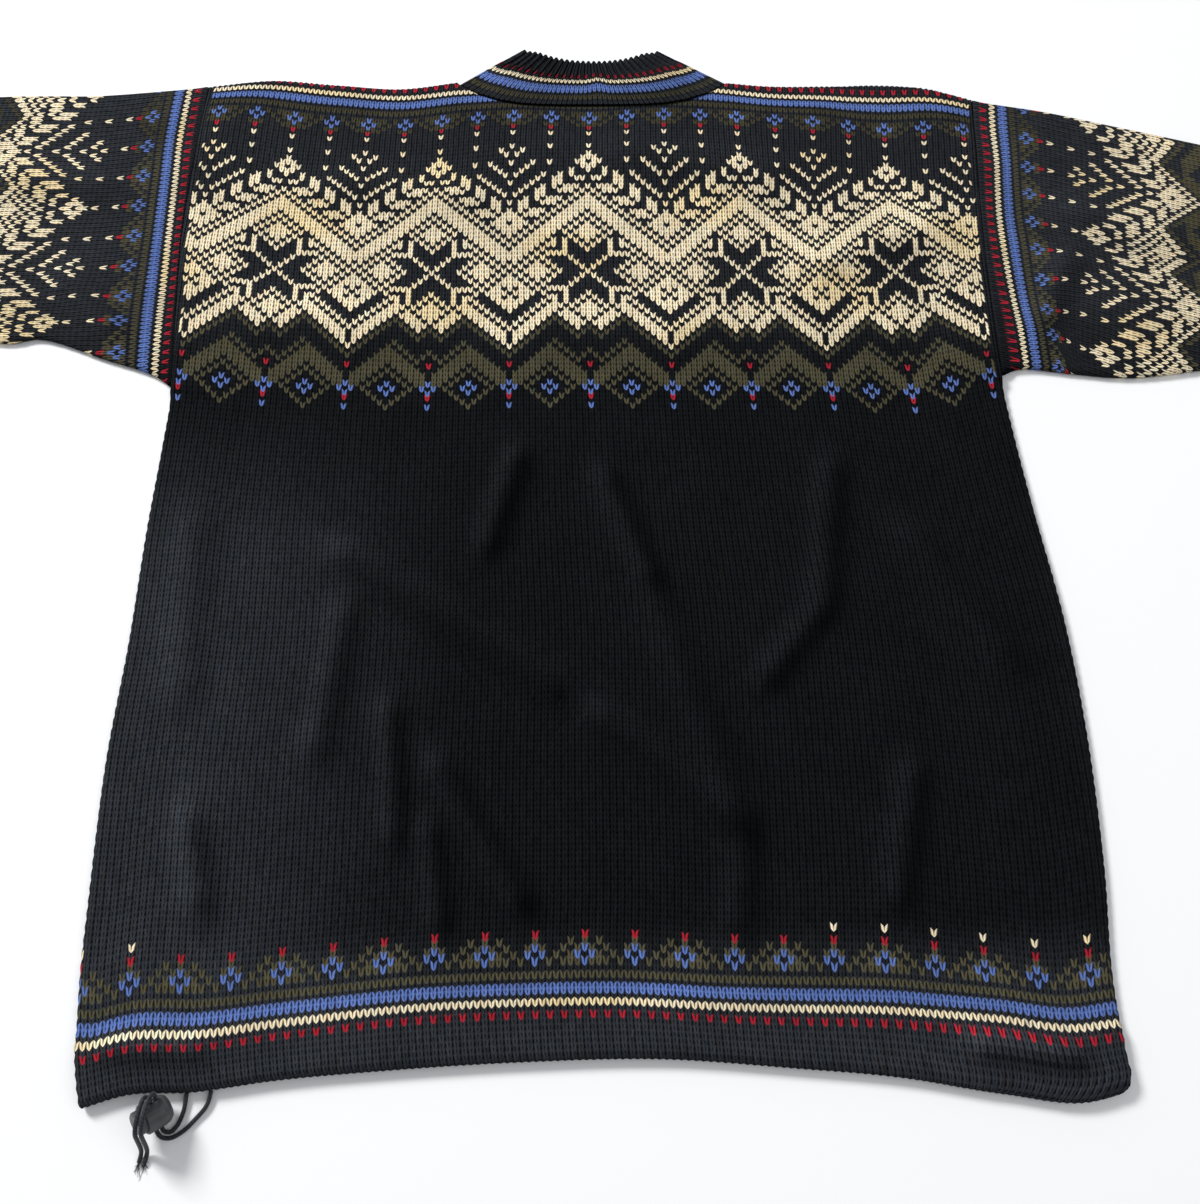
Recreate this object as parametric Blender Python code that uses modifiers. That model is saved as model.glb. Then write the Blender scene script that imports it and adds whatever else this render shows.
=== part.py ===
"""A men's Nordic wool sweater laid out flat with its back up.

Metres, +Z up, +X to the right, +Y from the hem to the collar. The garment is
drawn from the middle of its hem and then moved, so that the origin ends up
under the middle of its box, on the surface it lies on.

Each layer of cloth is a wall between two surfaces, lofted through sections:
the front and back panels, the sleeves, cuffs and collar as flattened tubes.
The hem's elastic runs through a sprung cord lock at the lower left corner.
"""

import math

import bmesh
import bpy
import numpy as np
from mathutils import Matrix

# ---------------------------------------------------------------- driving sizes
WALL = 0.0026  # one layer of stranded knit
HEM_WALL = 0.0040  # the hem is turned up, so it is doubled and pressed
HEM_DEPTH = 0.036  # height of the turned-up hem
SEAM = 0.0003  # what is left between pieces that are sewn together
PUFF = 0.0016  # how far the upper layer stands off the lower one, at the most
PUFF_REACH = 0.060  # how far in from an edge the puff is full
THINNEST = 0.0007  # cloth left at the rim of a rounded fold
HEM_EASE = 0.010  # height over which the doubled hem thins to one layer
FOLD_INSETS = np.array((0.0, 0.0011, 0.0030))  # from a fold's rim, where its points stand

BODY_ROWS = 32
BACK_COLUMNS = 9  # on each side of the neck
FRONT_COLUMNS = 4
SLEEVE_RINGS = 17
SLEEVE_STEPS = 11  # across a sleeve's layer, between its rounded folds
ARMHOLE_RINGS = 5  # rings over which the armhole's curve straightens

# ------------------------------------------------- the body's outline, in plan
# The sides run up from the hem; above ARMHOLE_FOOT they are the armhole seams.
ARMHOLE_FOOT = 0.452
ARMHOLE_EASE = 0.012  # height over which the folded side turns into the seam
SIDES = {
    "height": (-0.028, -0.018, 0.000, 0.039, 0.100, 0.180, 0.261, 0.350, 0.411, 0.452, 0.500, 0.597, 0.680, 0.745),
    "left": (-0.288, -0.292, -0.297, -0.302, -0.305, -0.307, -0.304, -0.303, -0.301, -0.300, -0.303, -0.309, -0.308, -0.306),
    "right": (0.285, 0.294, 0.295, 0.296, 0.303, 0.308, 0.308, 0.301, 0.297, 0.2955, 0.2965, 0.302, 0.309, 0.315),
}
HEM_EDGE = {
    "across": (-0.290, -0.268, -0.230, -0.186, -0.125, -0.050, 0.036, 0.106, 0.165, 0.224, 0.269, 0.292),
    "height": (-0.019, -0.013, -0.012, -0.007, -0.003, 0.000, 0.000, -0.006, -0.012, -0.022, -0.027, -0.022),
}
SHOULDER_EDGE = {
    "across": (-0.307, -0.260, -0.200, -0.150, -0.097, 0.112, 0.150, 0.203, 0.240, 0.277, 0.315),
    "height": (0.744, 0.750, 0.744, 0.739, 0.746, 0.741, 0.736, 0.735, 0.735, 0.731, 0.717),
}

# ------------------------------------------------------------------ the collar
NECK_LEFT = (-0.097, 0.746)  # where the collar meets the shoulders
NECK_RIGHT = (0.112, 0.741)
NECK_SAG = 2.2  # power of the necklines' curve
BACK_NECK = (0.025, 13)  # dip below the shoulders, and straight steps across it
FRONT_NECK = (0.062, 8)
RIM_LEFT = (-0.051, 0.7855)
RIM_RIGHT = (0.062, 0.7815)
BACK_RIM_DIP = 0.0165
FRONT_RIM_DIP = 0.052
RIB_COUNT = 52  # ribs across the back of the collar
RIB_HEIGHT = 0.0007
RIB_ROWS = (0.55, 0.80)  # shares of the collar's height where ribs begin and are full
RIB_SIDES = (0.004, 0.010)  # the same, in from the collar's folds
COLLAR_ROWS = (0.0, 0.30, 0.60, 0.80, 0.94, 1.0)
COLLAR_RISE = 0.0030  # the collar's back stands off its front
COLLAR_REACH = 0.030  # in from the folds, where it stands off fully

# ----------------------------------- sleeves: sections from the armhole outwards
LEFT_SLEEVE = {
    "fold_x": (-0.3063, -0.345, -0.393, -0.432, -0.472, -0.560, -0.650, -0.729),
    "fold_y": (0.7435, 0.740, 0.7355, 0.736, 0.736, 0.733, 0.730, 0.7275),
    "under_x": (-0.2993, -0.327, -0.354, -0.400, -0.440, -0.550, -0.645, -0.727),
    "under_y": (0.453, 0.471, 0.484, 0.502, 0.501, 0.539, 0.580, 0.617),
}
RIGHT_SLEEVE = {
    "fold_x": (0.3153, 0.341, 0.373, 0.427, 0.484, 0.560, 0.645, 0.719),
    "fold_y": (0.7165, 0.711, 0.702, 0.685, 0.667, 0.643, 0.616, 0.5925),
    "under_x": (0.2958, 0.318, 0.350, 0.389, 0.438, 0.540, 0.622, 0.687),
    "under_y": (0.453, 0.462, 0.457, 0.453, 0.458, 0.474, 0.483, 0.4880),
}
CUFF_LENGTH = 0.055
CUFF_NARROWING = 0.96  # width of the cuff's edge over its width at the seam

# -------------------------------- soft folds of the upper layer, ridge to ridge
FOLD_FULL = 0.35  # a fold keeps its height this far from its middle, over its length
FOLD_FADE = 1.6  # widths over which it dies away past that
FOLDS = (  # start_x, start_y, end_x, end_y, width, height
    (-0.190, 0.335, -0.003, 0.208, 0.013, 0.0034),
    (-0.010, 0.213, 0.090, 0.128, 0.011, 0.0042),
    (0.005, 0.385, 0.040, 0.290, 0.010, 0.0036),
    (0.034, 0.300, 0.088, 0.130, 0.013, 0.0020),
    (0.088, 0.135, 0.080, 0.070, 0.011, 0.0018),
    (-0.050, 0.400, -0.073, 0.318, 0.010, 0.0028),
    (-0.132, 0.220, -0.123, 0.120, 0.009, 0.0026),
    (-0.106, 0.184, -0.040, 0.078, 0.009, 0.0034),
    (-0.104, 0.138, -0.094, 0.072, 0.008, 0.0022),
    (-0.162, 0.290, -0.176, 0.175, 0.011, 0.0022),
    (0.166, 0.392, 0.150, 0.277, 0.011, 0.0024),
    (0.150, 0.277, 0.105, 0.222, 0.010, 0.0022),
    (0.196, 0.170, 0.174, 0.080, 0.010, 0.0022),
    (0.208, 0.336, 0.272, 0.230, 0.013, 0.0026),
    (-0.250, 0.145, -0.236, 0.088, 0.010, 0.0026),
    (-0.272, 0.360, -0.262, 0.210, 0.014, 0.0020),
    (-0.205, 0.640, -0.090, 0.625, 0.020, 0.0018),
    (0.020, 0.668, 0.150, 0.640, 0.022, 0.0020),
    (0.180, 0.560, 0.262, 0.590, 0.020, 0.0020),
    (-0.240, 0.520, -0.150, 0.500, 0.020, 0.0016),
    (-0.040, 0.505, 0.070, 0.495, 0.022, 0.0014),
    (-0.346, 0.505, -0.392, 0.560, 0.012, 0.0030),
    (-0.380, 0.640, -0.455, 0.655, 0.018, 0.0020),
    (0.330, 0.500, 0.362, 0.560, 0.012, 0.0034),
    (0.372, 0.600, 0.440, 0.575, 0.018, 0.0022),
    (-0.520, 0.640, -0.620, 0.668, 0.016, 0.0022),
    (0.520, 0.560, 0.610, 0.545, 0.016, 0.0022),
    (0.206, 0.004, 0.268, -0.004, 0.007, 0.0024),
    (-0.285, 0.012, -0.225, 0.010, 0.008, 0.0018),
)

# ------------------------------------------------- cord lock and elastic cord
CORD_RADIUS = 0.00125
CORD_PITCH = 0.0032  # between the two strands, side by side
LOCK_CENTRE = (-0.2466, -0.0222, 0.0116)
LOCK_HEADING = math.radians(215.6)  # the button faces left and to the hem's front
LOCK_TILT = math.radians(30)
BARREL_RADIUS = 0.0084
BARREL_LENGTH = 0.0150
BARREL_LIP = 0.0006  # broken edge round the bore
BARREL_TAPER = ((1.0, 0.35), (0.93, 0.72), (0.74, 1.0))  # radius and depth shares, to the back
BORE_RADIUS = 0.0070
BUTTON_RADIUS = 0.0067
BUTTON_FACE = 0.86  # flat face, over the button's radius
BUTTON_PROUD = 0.0045  # how far the button stands out of the barrel
BUTTON_LENGTH = 0.0105
BUTTON_TRAVEL = 0.0035
CORD_HOLE_DEPTH = 0.0010  # the mouth that each pair of strands enters
CORD_HOLE_SLACK = 0.0008
CORD_HOLE_TURN = math.radians(50)  # of the cross hole, below the level
NEAR_STRAIGHT = 0.0030  # cord that runs straight out of a mouth
FAR_STRAIGHT = 0.0016
STRANDS_MEET = 3  # points over which the free strands level out, side by side
FREE_END = (  # middle line of the two free strands, from the lock's far mouth
    (-0.2476, -0.0133, 0.0205),
    (-0.2482, -0.0142, 0.0232),
    (-0.2489, -0.0178, 0.0250),
    (-0.2496, -0.0225, 0.0258),
    (-0.2504, -0.0275, 0.0258),
    (-0.2512, -0.0325, 0.0236),
    (-0.2521, -0.0370, 0.0170),
    (-0.2530, -0.0405, 0.0090),
    (-0.2540, -0.0440, 0.0031),
    (-0.2548, -0.0475, 0.0015),
    (-0.2556, -0.0512, 0.0014),
)
SHORT_LOOP = (
    (-0.2437, -0.0312, 0.0027),
    (-0.2408, -0.0318, 0.0017),
    (-0.2372, -0.0285, 0.0016),
    (-0.2346, -0.0220, 0.0018),
    (-0.2335, -0.0118, 0.0028),
)
LONG_LOOP = (
    (-0.2448, -0.0342, 0.0030),
    (-0.2408, -0.0349, 0.0018),
    (-0.2340, -0.0318, 0.0016),
    (-0.2272, -0.0252, 0.0016),
    (-0.2215, -0.0180, 0.0021),
    (-0.2199, -0.0109, 0.0028),
)

# --------------------------------------------------------------------- colours
BLACK_WOOL = (0.011, 0.013, 0.017, 1)
COLLAR_WOOL = (0.013, 0.016, 0.021, 1)
LOCK_GREY = (0.045, 0.048, 0.053, 1)
CORD_BLACK = (0.012, 0.014, 0.020, 1)


# ============================================================ curves and relief
def through(places, values, at):
    """A smooth curve through a table's values, read at any places."""
    places, values = np.asarray(places, float), np.asarray(values, float)
    at = np.clip(at, places[0], places[-1])
    slopes = np.gradient(values, places)
    k = np.clip(np.searchsorted(places, at) - 1, 0, len(places) - 2)
    width = places[k + 1] - places[k]
    u = (at - places[k]) / width
    start, end = values[k], values[k + 1]
    leave, arrive = slopes[k] * width, slopes[k + 1] * width
    return (
        (2 * u**3 - 3 * u**2 + 1) * start
        + (u**3 - 2 * u**2 + u) * leave
        + (3 * u**2 - 2 * u**3) * end
        + (u**3 - u**2) * arrive
    )


def mix(a, b, share):
    return a + (b - a) * share


def smoothstep(low, high, value):
    u = np.clip((value - low) / (high - low), 0, 1)
    return u * u * (3 - 2 * u)


def relief(x, y):
    """Height of the soft folds at a place in plan."""
    height = np.zeros(np.broadcast(x, y).shape)
    for start_x, start_y, end_x, end_y, width, rise in FOLDS:
        run_x, run_y = end_x - start_x, end_y - start_y
        length = math.hypot(run_x, run_y)
        along = ((x - start_x) * run_x + (y - start_y) * run_y) / length**2
        beyond = np.maximum(0, np.abs(along - 0.5) - FOLD_FULL) * length / (FOLD_FADE * width)
        aside = ((x - start_x) * run_y - (y - start_y) * run_x) / length / width
        height = height + rise * np.exp(-(aside**2) - beyond**2)
    return height


def rounding(inset, radius):
    """How far a rounded fold falls below its flat, at an inset from its rim."""
    share = np.clip(inset / radius, 0, 1)
    return radius * (1 - np.sqrt(1 - (1 - share) ** 2))


def left_side(height):
    return through(SIDES["height"], SIDES["left"], height)


def right_side(height):
    return through(SIDES["height"], SIDES["right"], height)


def neck_edge(x, neck):
    """A neckline, in straight steps that the pieces on both sides of it share."""
    dip, steps = neck
    share = np.linspace(0, 1, steps + 1)
    line = mix(NECK_LEFT[1], NECK_RIGHT[1], share) - dip * (1 - np.abs(2 * share - 1) ** NECK_SAG)
    return np.interp(x, mix(NECK_LEFT[0], NECK_RIGHT[0], share), line)


def shoulder_line(x, neck):
    """The body's upper edge: the shoulders, and one of the necklines."""
    shoulder = through(SHOULDER_EDGE["across"], SHOULDER_EDGE["height"], x)
    inside = (x > NECK_LEFT[0]) & (x < NECK_RIGHT[0])
    return np.where(inside, neck_edge(x, neck), shoulder)


def hem_line(x):
    return through(HEM_EDGE["across"], HEM_EDGE["height"], x)


# ===================================================================== lofting
def finish(name, points, faces, material, collection):
    """An object from points and faces, with its faces turned outwards."""
    mesh = bpy.data.meshes.new(name)
    shell = bmesh.new()
    corners = [shell.verts.new(tuple(p)) for p in points]
    for face in faces:
        shell.faces.new([corners[k] for k in face])
    bmesh.ops.recalc_face_normals(shell, faces=shell.faces)
    shell.to_mesh(mesh)
    shell.free()
    mesh.materials.append(material)
    mesh.shade_smooth()
    mesh.set_sharp_from_angle(angle=math.radians(50))
    piece = bpy.data.objects.new(name, mesh)
    collection.objects.link(piece)
    return piece


def slab(name, upper, lower, material, collection):
    """A panel of cloth between two grids of points, closed round its edges."""
    rows, columns = upper.shape[:2]
    points = np.concatenate([upper.reshape(-1, 3), lower.reshape(-1, 3)])
    under = rows * columns
    faces = []
    for r in range(rows - 1):
        for c in range(columns - 1):
            a, b = r * columns + c, (r + 1) * columns + c
            faces.append((a, a + 1, b + 1, b))
            faces.append((under + a, under + b, under + b + 1, under + a + 1))
    rim = [c for c in range(columns)]
    rim += [r * columns + columns - 1 for r in range(1, rows)]
    rim += [(rows - 1) * columns + c for c in range(columns - 2, -1, -1)]
    rim += [r * columns for r in range(rows - 2, 0, -1)]
    for k, a in enumerate(rim):
        b = rim[(k + 1) % len(rim)]
        faces.append((a, under + a, under + b, b))
    return finish(name, points, faces, material, collection)


def flat_tube(name, outer, inner, material, collection):
    """A tube of cloth from its outer and inner rings, open at both ends."""
    rings, steps = outer.shape[:2]
    points = np.concatenate([outer.reshape(-1, 3), inner.reshape(-1, 3)])
    inside = rings * steps
    faces = []
    for k in range(steps):
        n = (k + 1) % steps
        for r in range(rings - 1):
            a, b = r * steps, (r + 1) * steps
            faces.append((a + k, a + n, b + n, b + k))
            faces.append((inside + a + k, inside + b + k, inside + b + n, inside + a + n))
        last = (rings - 1) * steps
        faces.append((k, inside + k, inside + n, n))
        faces.append((last + k, last + n, inside + last + n, inside + last + k))
    return finish(name, points, faces, material, collection)


# ======================================================================= panels
def spread(count):
    """Shares from 0 to 1, with two close steps at each end for its rounded fold."""
    ends = np.array((0, 0.0016, 0.0048))
    return np.concatenate([ends, np.linspace(0, 1, count + 1)[1:-1], 1 - ends[::-1]])


def columns_of(neck, beside):
    """Shares across a panel, with the neckline's own steps among them."""
    x = np.linspace(NECK_LEFT[0], NECK_RIGHT[0], neck[1] + 1)
    y = shoulder_line(x, neck) - SEAM
    inner = (x - left_side(y)) / (right_side(y) - left_side(y))
    evenly = np.linspace(0, 1, beside + 1)[1:-1]
    ends = spread(2)
    return np.concatenate([ends[:3], inner[0] * evenly, inner, mix(inner[-1], 1, evenly), ends[-3:]])


def rim_of(across, edge):
    """Where a panel's columns meet its hem or its shoulder line."""
    y = np.full(across.shape, edge(0.0))
    for _ in range(8):
        x = mix(left_side(y), right_side(y), across)
        y = edge(x)
    return y


def body_plan(beside, rows, neck):
    """Plan positions of a body panel's grid, with each point's inset from its edges."""
    across = columns_of(neck, beside)
    up = spread(rows)[:, None]
    low = rim_of(across, hem_line)
    high = rim_of(across, lambda x: shoulder_line(x, neck) - SEAM)
    y = mix(low, high, up)
    left, right = left_side(y), right_side(y)
    x = mix(left, right, across)
    return x, y, np.minimum(x - left, right - x), np.minimum(y - low, high - y)


def hem_share(x, y):
    """1 on the turned-up hem, easing to 0 above it."""
    above = y - hem_line(x)
    return 1 - smoothstep(HEM_DEPTH - HEM_EASE / 2, HEM_DEPTH + HEM_EASE / 2, above)


def wall_at(x, y):
    return mix(WALL, HEM_WALL, hem_share(x, y))


def folded_share(y):
    """1 where the side is a fold, easing to 0 where it is the armhole seam."""
    return 1 - smoothstep(ARMHOLE_FOOT - ARMHOLE_EASE, ARMHOLE_FOOT, y)


def puff(inset):
    return PUFF * smoothstep(0, PUFF_REACH, inset)


def make_front_panel(material, collection):
    """The lower layer: flat underneath, where the sweater rests."""
    x, y, side, end = body_plan(FRONT_COLUMNS, BODY_ROWS, FRONT_NECK)
    thick = wall_at(x, y)
    rise = np.maximum(rounding(side, WALL) * folded_share(y), rounding(end, WALL))
    rise = np.minimum(rise, thick - THINNEST)
    upper = np.stack([x, y, thick], axis=-1)
    lower = np.stack([x, y, rise], axis=-1)
    return slab("front_panel", upper, lower, material, collection)


def make_back_panel(material, collection):
    """The upper layer, with the soft folds that the sweater lies in."""
    x, y, side, end = body_plan(BACK_COLUMNS, BODY_ROWS, BACK_NECK)
    folded, thick = folded_share(y), wall_at(x, y)
    nearest = np.minimum(np.where(folded > 0, side, PUFF_REACH), end)
    under = thick + SEAM + puff(nearest) + relief(x, y)
    fall = np.maximum(rounding(side, WALL) * folded, rounding(end, WALL))
    over = under + thick - np.minimum(fall, thick - THINNEST)
    upper = np.stack([x, y, over], axis=-1)
    lower = np.stack([x, y, under], axis=-1)
    return slab("back_panel", upper, lower, material, collection)


# ====================================================================== sleeves
def ring_shares(width, first_inset):
    """Shares across a layer, from one rounded fold to the other."""
    ends = (first_inset + FOLD_INSETS) / width
    middle = np.linspace(0, 1, SLEEVE_STEPS + 1)[1:-1]
    return np.concatenate([ends, middle, 1 - ends[::-1]])


def tube_rings(fold, under, armhole, first_gap):
    """Outer and inner rings of a flattened sleeve between its two folds.

    fold and under are plan points of the upper fold and the underarm edge, one
    for each ring. armhole gives the seam's place across for a height, or None.
    """
    outer, inner = [], []
    for k, (top, low) in enumerate(zip(fold, under)):
        width = math.dist(top, low)
        bow_share = max(0.0, 1 - k / ARMHOLE_RINGS) ** 2
        rings = []
        for inset in (0.0, WALL):
            shares = ring_shares(width, inset)
            x, y = mix(low[0], top[0], shares), mix(low[1], top[1], shares)
            if armhole is not None:
                x = x + bow_share * (armhole(y) + first_gap - x)
            edge = np.minimum(shares, 1 - shares) * width
            lift = puff(edge) * (1 - bow_share) + PUFF * bow_share + relief(x, y)
            half = WALL + SEAM / 2
            if inset:
                gap = SEAM / 2 * np.clip((edge - WALL) / FOLD_INSETS[1], 0, 1)
                high, deep = half + gap + lift, half - gap
            else:
                fall = rounding(edge, half)
                high, deep = 2 * half - fall + lift, fall
            over = np.stack([x, y, high], axis=-1)
            below = np.stack([x, y, deep], axis=-1)[::-1]
            rings.append(np.concatenate([over, below]))
        outer.append(rings[0])
        inner.append(rings[1])
    return np.array(outer), np.array(inner)


def sleeve_lines(table, count):
    """Plan points of a sleeve's fold and underarm edge, from its sections."""
    known = np.linspace(0, 1, len(table["fold_x"]))
    at = np.linspace(0, 1, count)
    fold = np.stack([through(known, table[k], at) for k in ("fold_x", "fold_y")], axis=-1)
    under = np.stack([through(known, table[k], at) for k in ("under_x", "under_y")], axis=-1)
    return fold, under


def make_sleeve(side, table, armhole, gap, material, collection):
    fold, under = sleeve_lines(table, SLEEVE_RINGS)
    outer, inner = tube_rings(fold, under, armhole, gap)
    return flat_tube("sleeve_" + side, outer, inner, material, collection)


def make_cuff(side, table, material, collection):
    """A plain band that carries the sleeve's lines on past its end."""
    end_fold = np.array((table["fold_x"][-1], table["fold_y"][-1]))
    end_under = np.array((table["under_x"][-1], table["under_y"][-1]))
    across = end_fold - end_under
    out = np.array((-across[1], across[0])) / np.linalg.norm(across)
    if side == "right":
        out = -out
    middle = (end_fold + end_under) / 2
    fold, under = [], []
    for share in np.linspace(0, 1, 4):
        centre = middle + out * (SEAM + CUFF_LENGTH * share)
        half = across / 2 * mix(1, CUFF_NARROWING, share)
        fold.append(centre + half)
        under.append(centre - half)
    outer, inner = tube_rings(fold, under, None, 0)
    return flat_tube("cuff_" + side, outer, inner, material, collection)


# ======================================================================= collar
def collar_layer(row, inset, back):
    """One layer of a collar ring, from the left fold to the right one."""
    width = NECK_RIGHT[0] - NECK_LEFT[0]
    ends = (inset + FOLD_INSETS) / width
    neck = BACK_NECK if back else FRONT_NECK
    steps = RIB_COUNT * 2 if back else neck[1]
    middle = np.linspace(0, 1, steps + 1)
    middle = middle[np.abs(middle - 0.5) < 0.5 - (WALL + FOLD_INSETS[-1]) / width]
    share = np.concatenate([ends, middle, 1 - ends[::-1]])
    base_x = mix(NECK_LEFT[0], NECK_RIGHT[0], share)
    base_y = neck_edge(base_x, neck)
    sag = (BACK_RIM_DIP if back else FRONT_RIM_DIP) * (1 - np.abs(2 * share - 1) ** NECK_SAG)
    rim_x = mix(RIM_LEFT[0], RIM_RIGHT[0], share)
    rim_y = mix(RIM_LEFT[1], RIM_RIGHT[1], share) - sag
    x, y = mix(base_x, rim_x, row), mix(base_y, rim_y, row)
    edge = np.minimum(share, 1 - share) * width
    half = WALL + SEAM / 2
    if inset:
        fall = half - SEAM / 2 * np.clip((edge - WALL) / FOLD_INSETS[1], 0, 1)
    else:
        fall = rounding(edge, half)
    if not back:
        return np.column_stack([x, y, fall])
    stand = PUFF + COLLAR_RISE * smoothstep(0, 0.5, row)
    z = 2 * half - fall + stand * smoothstep(0, COLLAR_REACH, edge)
    if not inset:
        ridge = np.where(np.arange(len(share)) % 2 == 0, 1.0, -0.6)
        z = z + RIB_HEIGHT * ridge * smoothstep(*RIB_ROWS, row) * smoothstep(*RIB_SIDES, edge)
    return np.column_stack([x, y, z])


def make_collar(material, collection):
    """A knitted tube laid flat: its back lies over its front, ribbed at the rim."""
    outer, inner = [], []
    for row in COLLAR_ROWS:
        for inset, rings in ((0.0, outer), (WALL, inner)):
            over = collar_layer(row, inset, True)
            below = collar_layer(row, inset, False)[::-1]
            rings.append(np.concatenate([over, below]))
    return flat_tube("collar", np.array(outer), np.array(inner), material, collection)


# ==================================================================== cord lock
def lock_axes():
    """The lock's own directions: out through the button, level, and upwards."""
    level = math.cos(LOCK_TILT)
    out = np.array(
        (math.cos(LOCK_HEADING) * level, math.sin(LOCK_HEADING) * level, math.sin(LOCK_TILT))
    )
    side = np.array((-math.sin(LOCK_HEADING), math.cos(LOCK_HEADING), 0.0))
    return out, side, np.cross(out, side)


def cord_mouth_direction():
    """From the lock's middle to the mouth that faces the camera and the floor."""
    _, side, up = lock_axes()
    return math.cos(CORD_HOLE_TURN) * side - math.sin(CORD_HOLE_TURN) * up


def turned(name, profile, material, collection):
    """A turned piece about the lock's axis, from (radius, along) points."""
    mesh = bpy.data.meshes.new(name)
    outline = bmesh.new()
    corners = [outline.verts.new((radius, 0, along)) for radius, along in profile]
    for a, b in zip(corners, corners[1:]):
        outline.edges.new((a, b))
    outline.to_mesh(mesh)
    outline.free()
    mesh.materials.append(material)
    piece = bpy.data.objects.new(name, mesh)
    collection.objects.link(piece)
    screw = piece.modifiers.new("turn", "SCREW")
    screw.steps = screw.render_steps = 24
    screw.use_merge_vertices = True
    screw.merge_threshold = 0.00005
    return piece


def placed(x_axis, y_axis, z_axis, place):
    """A frame with the given axes, at a place."""
    frame = Matrix(np.column_stack([x_axis, y_axis, z_axis]).tolist()).to_4x4()
    frame.translation = place
    return frame


def make_lock(material, collection, cutters):
    """A barrel with a blind bore, and the sprung button that slides in it."""
    out, side, up = lock_axes()
    half = BARREL_LENGTH / 2
    floor = half + BUTTON_PROUD - BUTTON_LENGTH - BUTTON_TRAVEL - 2 * SEAM
    barrel = turned(
        "cord_lock_barrel",
        (
            (0.0, floor),
            (BORE_RADIUS, floor),
            (BORE_RADIUS, half),
            (BARREL_RADIUS - BARREL_LIP, half),
            (BARREL_RADIUS, half - BARREL_LIP),
            *((BARREL_RADIUS * wide, -half * deep) for wide, deep in BARREL_TAPER),
            (0.0, -half),
        ),
        material,
        collection,
    )
    barrel.matrix_world = placed(side, up, out, LOCK_CENTRE)

    mouth = cord_mouth_direction()
    wide = 2 * CORD_RADIUS + CORD_HOLE_SLACK
    size = (wide, wide + CORD_PITCH, 2 * CORD_HOLE_DEPTH)
    for end, sign in (("near", 1), ("far", -1)):
        cutter = box_cutter("cord_mouth_" + end, size, cutters)
        place = np.array(LOCK_CENTRE) + sign * BARREL_RADIUS * mouth
        cutter.matrix_world = placed(np.cross(out, mouth), out, mouth, place)
        cut = barrel.modifiers.new(cutter.name, "BOOLEAN")
        cut.operation = "DIFFERENCE"
        cut.object = cutter

    button = turned(
        "cord_lock_button",
        (
            (0.0, half + BUTTON_PROUD),
            (BUTTON_RADIUS * BUTTON_FACE, half + BUTTON_PROUD),
            (BUTTON_RADIUS, half + BUTTON_PROUD - BUTTON_RADIUS * (1 - BUTTON_FACE)),
            (BUTTON_RADIUS, half + BUTTON_PROUD - BUTTON_LENGTH),
            (0.0, half + BUTTON_PROUD - BUTTON_LENGTH),
        ),
        material,
        collection,
    )
    button.matrix_world = placed(side, up, out, LOCK_CENTRE)


def box_cutter(name, size, cutters):
    mesh = bpy.data.meshes.new(name)
    cube = bmesh.new()
    bmesh.ops.create_cube(cube, size=1)
    bmesh.ops.scale(cube, vec=size, verts=cube.verts)
    cube.to_mesh(mesh)
    cube.free()
    cutter = bpy.data.objects.new(name, mesh)
    cutter.hide_render = True
    cutter.display_type = "WIRE"
    cutters.objects.link(cutter)
    return cutter


# ========================================================================= cord
def cord_points(route):
    """Points about two cord widths apart on a smooth curve through a route."""
    route = np.asarray(route, float)
    steps = np.linalg.norm(np.diff(route, axis=0), axis=1)
    length = np.concatenate([[0], np.cumsum(steps)])
    count = max(4, round(length[-1] / (4 * CORD_RADIUS)) + 1)
    at = np.linspace(0, length[-1], count)
    return np.stack([through(length, route[:, k], at) for k in range(3)], axis=-1)


def make_cord(name, route, material, collection):
    points = cord_points(route)
    curve = bpy.data.curves.new(name, "CURVE")
    curve.dimensions = "3D"
    curve.bevel_depth = CORD_RADIUS
    curve.bevel_resolution = 2
    curve.use_fill_caps = True
    line = curve.splines.new("POLY")
    line.points.add(len(points) - 1)
    for point, place in zip(line.points, points):
        point.co = (*place, 1)
    curve.materials.append(material)
    strand = bpy.data.objects.new(name, curve)
    collection.objects.link(strand)


def make_cords(material, collection):
    """Two strands from the hem to the lock, and their two free ends."""
    out, _, _ = lock_axes()
    mouth = cord_mouth_direction()
    reach = BARREL_RADIUS - CORD_HOLE_DEPTH + SEAM
    for name, sign, loop in (("a", 1, LONG_LOOP), ("b", -1, SHORT_LOOP)):
        aside = out * CORD_PITCH / 2 * sign
        near = np.array(LOCK_CENTRE) + reach * mouth + aside
        far = np.array(LOCK_CENTRE) - reach * mouth + aside
        near_out = near + NEAR_STRAIGHT * mouth
        make_cord("drawcord_loop_" + name, [near, near_out, *loop], material, collection)
        far_out = far - FAR_STRAIGHT * mouth
        level = np.array((-sign * CORD_PITCH / 2, 0.0, 0.0))
        free = []
        for k, point in enumerate(FREE_END):
            lean = aside * (0, 1, 1) * max(0.0, 1 - k / STRANDS_MEET)
            free.append(np.array(point) + level + lean)
        make_cord("drawcord_end_" + name, [far, far_out, *free], material, collection)


# ======================================================================== build
def wool(name, colour, roughness=0.95):
    material = bpy.data.materials.new(name)
    material.use_nodes = True
    shader = material.node_tree.nodes["Principled BSDF"]
    shader.inputs["Base Color"].default_value = colour
    shader.inputs["Roughness"].default_value = roughness
    shader.inputs["Metallic"].default_value = 0.0
    material.diffuse_color = colour
    return material


def new_collection(name):
    collection = bpy.data.collections.new(name)
    bpy.context.scene.collection.children.link(collection)
    return collection


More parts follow.
